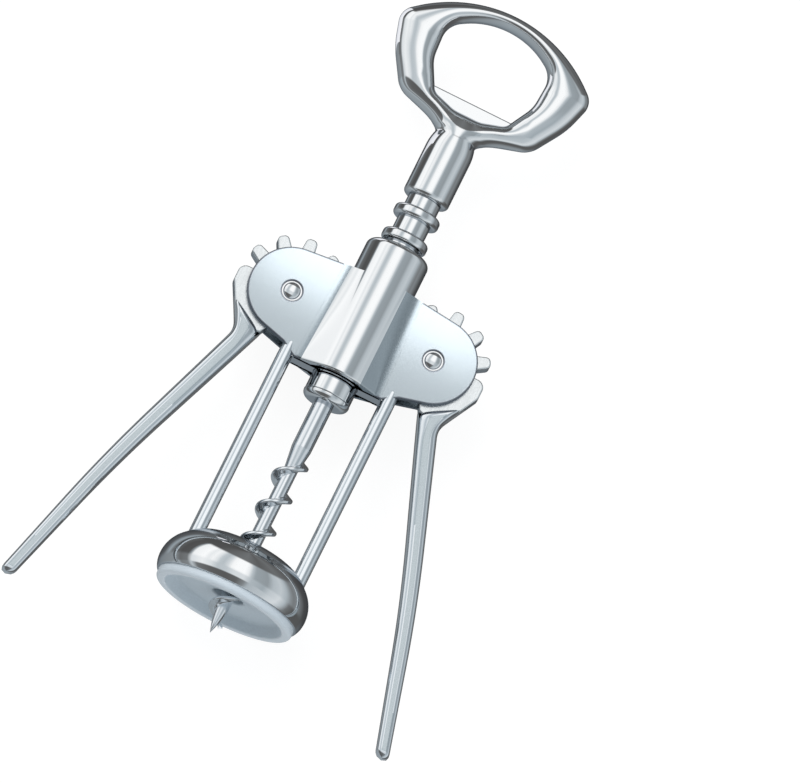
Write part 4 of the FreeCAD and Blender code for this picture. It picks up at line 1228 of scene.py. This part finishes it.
# Above the pins: right-hand corners of the head's outline and of its eye, and those on the axis.
HEAD_OUTLINE = ((6.3, 58.3, 12.0), (18.83, 62.0, 7.0), (24.92, 71.9, 25.0), (27.6, 81.1, 4.5))
HEAD_TOP = (0.0, 104.765, 37.8)
EYE_OUTLINE = ((10.15, 65.3, 3.0), (14.35, 73.2, 10.0), (14.95, 83.2, 6.5))
EYE_TOP = (0.0, 92.58, 20.4)
EYE_FOOT = (0.0, 62.2, 16.0)


class HeadForm:
    """The head and the neck as one smooth form: negative inside, nought on the surface."""

    def __init__(self, size, pins):
        self.size = size
        self.pins = pins
        outer = mirrored(HEAD_OUTLINE, [HEAD_TOP])
        eye = mirrored(EYE_OUTLINE, [EYE_TOP]) + [EYE_FOOT]
        self.outer, self.eye = ([(x, y + pins, *rest) for x, y, *rest in corners]
                                for corners in (outer, eye))

    def value(self, point):
        """The form's value at an array of points."""
        size = self.size
        x, y, z = point[:, 0], point[:, 1], point[:, 2]
        above = y - self.pins
        # The rim's rounding gives way to the neck, and the eye's reaches further beside it.
        joint_foot, joint_top, joint_lift, joint_width, brow = 55.5, 66.0, 5.0, 5.0, 69.0
        joint = np.clip((above - joint_foot) / 2.5, 0.0, 1.0)
        joint = joint * np.clip((joint_top - above) / 3.0, 0.0, 1.0)
        low = np.clip((brow - above) / 6.0, 0.0, 1.0)
        lift = joint_lift * joint * np.exp(-(x / joint_width) ** 2)
        from_rim = path_distance(self.outer, x, y) + lift
        from_eye = -path_distance(self.eye, x, y)
        width = np.maximum(from_rim + from_eye, 0.5)
        rim_reach = np.minimum(size.outer_round, width * 0.60)
        eye_reach = np.minimum(size.eye_round, width * (0.40 + 0.22 * low))
        near_rim = np.maximum(1 - from_rim / rim_reach, 0.0)
        near_eye = np.maximum(1 - from_eye / eye_reach, 0.0)
        face = np.abs(z) / (size.depth / 2)
        rounded = np.maximum(np.hypot(near_rim, face), np.hypot(near_eye, face))
        return self.blended((rounded - 1) * size.depth / 2, self.neck(x, y, z))

    def neck(self, x, y, z):
        """The neck: round at its lower edge, sinking into the head above."""
        size = self.size
        radius = np.hypot(x, z)
        sunk = np.maximum(y - self.pins - size.neck_dome, 0.0) / (size.neck_end - size.neck_dome)
        upper = (np.sqrt((radius / size.neck_radius) ** 2 + sunk ** 2) - 1) * size.neck_radius
        soft = size.neck_round
        below = self.pins + size.neck_bottom - y + soft
        beside = radius - size.neck_radius + soft
        lower = np.minimum(np.maximum(below, beside), 0.0) - soft
        lower += np.hypot(np.maximum(below, 0.0), np.maximum(beside, 0.0))
        return np.maximum(upper, lower)

    def blended(self, first, second):
        """Smooth union of two values."""
        reach = self.size.blend
        share = np.maximum(reach - np.abs(first - second), 0.0) / reach
        return np.minimum(first, second) - share ** 2 * reach / 4

    def slope(self, point):
        """Gradient of the form at an array of points."""
        step = 0.01
        shifts = np.eye(3) * step
        return np.stack([(self.value(point + shift) - self.value(point - shift)) / (2 * step)
                         for shift in shifts], axis=1)

    def settle_points(self, point, rounds):
        """Move points on to the surface, by a limited move at a time."""
        furthest, flattest = 0.6, 0.05
        for _ in range(rounds):
            slope = self.slope(point)
            steep = np.maximum((slope ** 2).sum(axis=1), flattest)
            move = (self.value(point) / steep)[:, None] * slope
            far = np.linalg.norm(move, axis=1, keepdims=True)
            point = point - move * np.minimum(1.0, furthest / np.maximum(far, 1e-9))
        return point


def head_mesh(form, material):
    """The head with its neck: a remeshed rough shape, moved on to the smooth form."""
    size, pins = form.size, form.pins
    voxel, passes, relaxings, moves, crisp = 0.38, 4, 3, 5, 60.0
    # The rough shape only has to lie near the form, with the same holes.
    face = size.depth / 2 - 0.3
    plate = slab_data([trace(form.outer, True, step=3), trace(form.eye, True, step=3)],
                      [(0.0, -face), (0.0, face)])
    foot = pins + size.neck_bottom
    neck = lathe_data([(0.0, foot), (size.neck_radius, foot, 1.0),
                       (size.neck_radius, pins + size.neck_dome), (4.3, pins + 60.5),
                       (0.0, pins + 60.8)], False, segments=96)
    rough = new_piece("head_with_neck", *joined(plate, neck), [material])
    remesh = rough.modifiers.new("even_mesh", "REMESH")
    remesh.mode = "VOXEL"
    remesh.voxel_size = voxel * MM
    keep_result(rough)
    mesh = rough.data
    for _ in range(passes):
        relax(mesh, relaxings)
        read = np.zeros(len(mesh.vertices) * 3)
        mesh.vertices.foreach_get("co", read)
        placed = form.settle_points(read.reshape(-1, 3) / MM, moves)
        mesh.vertices.foreach_set("co", (placed * MM).ravel())
    mesh.update()
    mesh.materials.clear()
    mesh.materials.append(material)
    close_mesh(mesh, crisp)
    return rough


def relax(mesh, rounds):
    """Even out the spacing of a mesh's vertices."""
    work = bmesh.new()
    work.from_mesh(mesh)
    for _ in range(rounds):
        bmesh.ops.smooth_vert(work, verts=work.verts, factor=0.5, use_axis_x=True, use_axis_y=True,
                              use_axis_z=True)
    work.to_mesh(mesh)
    work.free()


def build_head(finish):
    """Opener head with its neck, and the cap lifter in its eye."""
    size = Sizes("head")
    pins = Sizes("frame").pin_height
    head = head_mesh(HeadForm(size, pins), finish.polished)
    settle(head, "handle", "head_chrome", "opener_head")
    half = size.lip_depth / 2
    lip = mirrored([(3.0, pins + 61.0, 0.5), (11.4, pins + 64.2, 0.5),
                    (12.0, pins + size.lip_height, 0.4)])
    data = slab_data([trace(lip, True, step=8)], rim_rings(-half, half, 0.5, 0.5))
    lifter = new_piece("cap_lifter", *joined(data), [finish.polished])
    settle(lifter, "handle", "head_chrome")


# --- Stage ----------------------------------------------------------------------------------------

# Light and dark panels round the axis: angle in degrees, and display level from 0 to 255.
MIDDLE = (
    (-180, 84), (-142, 104), (-128, 168), (-119, 106), (-98, 78), (-84, 82),
    (-80, 150), (-76, 240), (-58, 250), (-51, 232), (-44, 243), (-38, 226), (-33, 196),
    (-27, 188), (-20, 212), (-14, 244), (-7, 250), (6, 250), (12, 234), (17, 190), (23, 158),
    (44, 150), (55, 184), (70, 196), (82, 176), (92, 140), (100, 122), (110, 130),
    (138, 82), (180, 84),
)
LOWER = (
    (-180, 158), (-140, 150), (-118, 160), (-104, 170), (-98, 120), (-84, 130),
    (-78, 190), (-68, 110), (-44, 92), (-20, 88), (0, 96), (12, 130),
    (20, 176), (34, 186), (46, 190), (56, 204),
    (70, 214), (80, 190), (92, 120), (106, 82), (134, 92), (160, 150), (180, 160),
)
HORIZON = (
    (-180, 150), (-130, 140), (-110, 140), (-98, 104), (-84, 116), (-76, 220),
    (-58, 236), (-44, 222), (-33, 190), (-20, 196), (-8, 216), (8, 218),
    (20, 180), (40, 166), (52, 196), (70, 212), (82, 180),
    (92, 110), (108, 80), (140, 92), (180, 150),
)
UPPER = (
    (-180, 92), (-130, 110), (-110, 76), (-60, 80), (-30, 100), (0, 112), (30, 92), (70, 108),
    (110, 92), (140, 108), (180, 92),
)
# Above the lower panels: where each next band of panels starts and is full, along the axis.
BANDS = ((HORIZON, -0.36, -0.26), (MIDDLE, 0.0, 0.20), (UPPER, 0.72, 0.80))


def linear(level):
    """Linear strength of a display level from 0 to 255."""
    share = level / 255
    return share / 12.92 if share <= 0.04045 else ((share + 0.055) / 1.055) ** 2.4


def panel_ramp(tree, share, stops):
    """Light and dark panels round the axis, as a colour ramp over the angle about it."""
    # Levels are those that the chrome shows; the middle greys are cooler.
    chrome, coolest, cool_span, cool_shift = 0.87, 165, 80, (-0.11, 0.01, 0.09)
    panels = tree.add("ShaderNodeValToRGB", {0: share})
    ramp = panels.color_ramp
    for place, level in stops:
        position = (place + 180) / 360
        stop = ramp.elements.new(position) if 0 < position < 1 else ramp.elements[-(position > 0)]
        cool = max(0.0, 1 - abs(level - coolest) / cool_span)
        strength = linear(level) / chrome
        stop.color = (*[strength * (1 + shift * cool) for shift in cool_shift], 1.0)
    return panels.outputs[0]


def sky_world():
    """Soft studio: light and dark panels round the object's axis; the background is white."""
    world = bpy.data.worlds.new("studio")
    bpy.context.scene.world = world
    world.use_nodes = True
    world.node_tree.nodes.clear()
    tree = Tree(world.node_tree)
    way = tree.add("ShaderNodeTexCoord").outputs["Generated"]
    parts = tree.add("ShaderNodeSeparateXYZ", {0: way}).outputs
    angle = tree.math("ARCTAN2", parts["X"], parts["Z"])
    share = tree.share(angle, -math.pi, math.pi)
    panels = panel_ramp(tree, share, LOWER)
    for stops, low, high in BANDS:
        rise = tree.share(parts["Y"], low, high, interpolation_type="SMOOTHSTEP")
        panels = tree.mix(rise, panels, panel_ramp(tree, share, stops))
    seen = tree.add("ShaderNodeLightPath").outputs["Is Camera Ray"]
    pick = tree.mix(seen, panels, WHITE)
    light = tree.result("ShaderNodeBackground", {"Color": pick, "Strength": 1.0})
    tree.add("ShaderNodeOutputWorld", {"Surface": light})


def bare_material(name):
    """A material without nodes, and its tree."""
    material = bpy.data.materials.new(name)
    material.use_nodes = True
    material.node_tree.nodes.clear()
    return material, Tree(material.node_tree)


def floor_material():
    """Pale floor that keeps a soft shadow."""
    material, tree = bare_material("pale_floor")
    matt = tree.result("ShaderNodeBsdfDiffuse", {"Color": (0.16, 0.16, 0.16, 1.0)})
    glow = tree.result("ShaderNodeEmission", {"Color": WHITE, "Strength": 0.90})
    pale = tree.result("ShaderNodeAddShader", {0: matt, 1: glow})
    tree.add("ShaderNodeOutputMaterial", {"Surface": pale})
    return material


def stage_sheet(name, corners, material):
    """One flat face of the stage, from corners in metres."""
    mesh = bpy.data.meshes.new(name)
    mesh.from_pydata([Vector(corner) for corner in corners], [], [tuple(range(len(corners)))])
    mesh.materials.append(material)
    sheet = bpy.data.objects.new(name, mesh)
    bpy.context.scene.collection.objects.link(sheet)
    sheet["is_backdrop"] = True
    return sheet


def build_stage():
    """Floor, world, lamps, card and camera."""
    reach, corners = 4.0, 96
    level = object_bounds()[0].z - 0.0002
    turns = [TURN * index / corners for index in range(corners)]
    floor = stage_sheet("floor", [(reach * math.cos(turn), reach * math.sin(turn), level)
                                  for turn in turns], floor_material())
    floor.visible_glossy = False
    sky_world()
    soft_lamp("key_lamp", (-0.35, 0.35, 0.75), size=0.5, power=3.2)
    soft_lamp("fill_lamp", (0.5, -0.3, 0.6), size=0.6, power=1.4)
    plate_softbox()
    head_card()
    aim_camera()


def area_lamp(name, place, size, power):
    """A soft lamp that isn't seen itself."""
    data = bpy.data.lights.new(name, "AREA")
    data.size = size
    data.energy = power
    lamp = bpy.data.objects.new(name, data)
    bpy.context.scene.collection.objects.link(lamp)
    lamp.location = place
    lamp.visible_camera = False
    return lamp


def soft_lamp(name, place, size, power):
    """A square lamp aimed at the middle of the object, which reflections don't show."""
    lamp = area_lamp(name, place, size, power)
    aim = Vector((0.0, 0.09, 0.0)) - Vector(place)
    lamp.rotation_euler = aim.to_track_quat("-Z", "Y").to_euler()
    lamp.visible_glossy = False


def plate_softbox():
    """A low soft box whose glow runs down the front cheek plate from its top edge."""
    width, depth, edge = 0.072, 0.06, 0.099
    box = area_lamp("plate_softbox", (0.0, edge + depth / 2, 0.064), width, 0.022)
    box.data.shape = "RECTANGLE"
    box.data.size_y = depth
    lit = bpy.data.collections.new("softbox_lit")
    for name in ("front_cheek_plate", "front_left_hollow", "front_right_hollow"):
        lit.objects.link(bpy.data.objects[name])
    box.light_linking.receiver_collection = lit


def head_card():
    """A white card beside the head that only the chrome's reflections show."""
    material, tree = bare_material("head_card")
    glow = tree.result("ShaderNodeEmission", {"Color": (1.0, 1.0, 1.04, 1.0)})
    tree.add("ShaderNodeOutputMaterial", {"Surface": glow})
    corners = ((-62, 150, -62), (-62, 150, -2), (-62, 215, -2), (-62, 215, -62))
    card = stage_sheet("head_card", [Vector(corner) * MM for corner in corners], material)
    card.visible_camera = False
    card.visible_diffuse = False
    card.visible_transmission = False
    card.visible_shadow = False


def aim_camera():
    """A long lens from above and slightly from the base's side, rolled."""
    scene = bpy.context.scene
    # Points across the render, and points to the millimetre.
    render_width, scale = 800, 3.88
    roll = math.radians(26.43)
    back = Vector((0.0, -0.25003, 0.96824))
    along = Vector((0.0, 0.96824, 0.25003))
    target = Vector((16.16, 73.08, -2.94)) * MM
    data = bpy.data.cameras.new("camera")
    data.lens = 1600
    data.sensor_width = 36
    data.clip_start = 0.05
    data.clip_end = 100.0
    camera = bpy.data.objects.new("camera", data)
    scene.collection.objects.link(camera)
    right = Vector((math.cos(roll), 0.0, 0.0)) + along * math.sin(roll)
    up = Vector((-math.sin(roll), 0.0, 0.0)) + along * math.cos(roll)
    distance = data.lens * (render_width / scale * MM) / data.sensor_width
    camera.matrix_world = Matrix((right, up, back)).transposed().to_4x4()
    camera.location = target + back * distance
    scene.camera = camera
    scene.view_settings.view_transform = "Standard"


# --- Operators and panel --------------------------------------------------------------------------

class CORKSCREW_OT_frame(bpy.types.Operator):
    """Build the barrel, cheek plates, hollows and legs"""
    bl_idname = "corkscrew.frame"
    bl_label = "Frame casting"

    def execute(self, context):
        build_frame(Finishes())
        return {"FINISHED"}


class CORKSCREW_OT_base(bpy.types.Operator):
    """Build the base ring and its liner"""
    bl_idname = "corkscrew.base"
    bl_label = "Base"

    def execute(self, context):
        build_base(Finishes())
        return {"FINISHED"}


class CORKSCREW_OT_rack(bpy.types.Operator):
    """Build the rack, its rings and the collar"""
    bl_idname = "corkscrew.rack"
    bl_label = "Rack"

    def execute(self, context):
        build_rack(Finishes())
        return {"FINISHED"}


class CORKSCREW_OT_pins(bpy.types.Operator):
    """Build the lever pins and the cross pin"""
    bl_idname = "corkscrew.pins"
    bl_label = "Pins"

    def execute(self, context):
        build_pins(Finishes())
        return {"FINISHED"}


class CORKSCREW_OT_worm(bpy.types.Operator):
    """Build the worm's shank and flight"""
    bl_idname = "corkscrew.worm"
    bl_label = "Worm"

    def execute(self, context):
        build_worm(Finishes())
        return {"FINISHED"}


class CORKSCREW_OT_levers(bpy.types.Operator):
    """Build the arms, hubs and teeth of both levers"""
    bl_idname = "corkscrew.levers"
    bl_label = "Levers"

    def execute(self, context):
        build_levers(Finishes())
        return {"FINISHED"}


class CORKSCREW_OT_head(bpy.types.Operator):
    """Build the opener head, its neck and the cap lifter"""
    bl_idname = "corkscrew.head"
    bl_label = "Opener head"

    def execute(self, context):
        build_head(Finishes())
        return {"FINISHED"}


class CORKSCREW_OT_stage(bpy.types.Operator):
    """Set up the floor, the soft studio light and the camera"""
    bl_idname = "corkscrew.stage"
    bl_label = "Stage"

    def execute(self, context):
        build_stage()
        return {"FINISHED"}


BUILDERS = (CORKSCREW_OT_frame, CORKSCREW_OT_base, CORKSCREW_OT_rack, CORKSCREW_OT_pins,
            CORKSCREW_OT_worm, CORKSCREW_OT_levers, CORKSCREW_OT_head, CORKSCREW_OT_stage)
GROUPS = (("corkscrew_frame", CorkscrewFrame), ("corkscrew_base", CorkscrewBase),
          ("corkscrew_rack", CorkscrewRack), ("corkscrew_head", CorkscrewHead),
          ("corkscrew_worm", CorkscrewWorm), ("corkscrew_lever", CorkscrewLever),
          ("corkscrew_finish", CorkscrewFinish))


class VIEW3D_PT_corkscrew(bpy.types.Panel):
    """Sizes, finishes and build steps of the wing corkscrew"""
    bl_label = "Wing corkscrew"
    bl_space_type = "VIEW_3D"
    bl_region_type = "UI"
    bl_category = "Corkscrew"

    def draw(self, context):
        for name, _ in GROUPS:
            group = getattr(context.scene, name)
            box = self.layout.box()
            for prop in group.bl_rna.properties:
                if not prop.is_readonly and prop.identifier != "name":
                    box.prop(group, prop.identifier)
        for builder in BUILDERS:
            self.layout.operator(builder.bl_idname)


def register():
    """Make the settings, the operators and the panel known."""
    for name, group in GROUPS:
        bpy.utils.register_class(group)
        setattr(bpy.types.Scene, name, PointerProperty(type=group))
    for kind in BUILDERS + (VIEW3D_PT_corkscrew,):
        bpy.utils.register_class(kind)


def unregister():
    """Take them all away again."""
    for kind in reversed(BUILDERS + (VIEW3D_PT_corkscrew,)):
        bpy.utils.unregister_class(kind)
    for name, group in reversed(GROUPS):
        delattr(bpy.types.Scene, name)
        bpy.utils.unregister_class(group)


def main():
    """Build everything in order."""
    register()
    for builder in BUILDERS:
        family, step = builder.bl_idname.split(".")
        getattr(getattr(bpy.ops, family), step)()


if __name__ == "__main__":
    main()
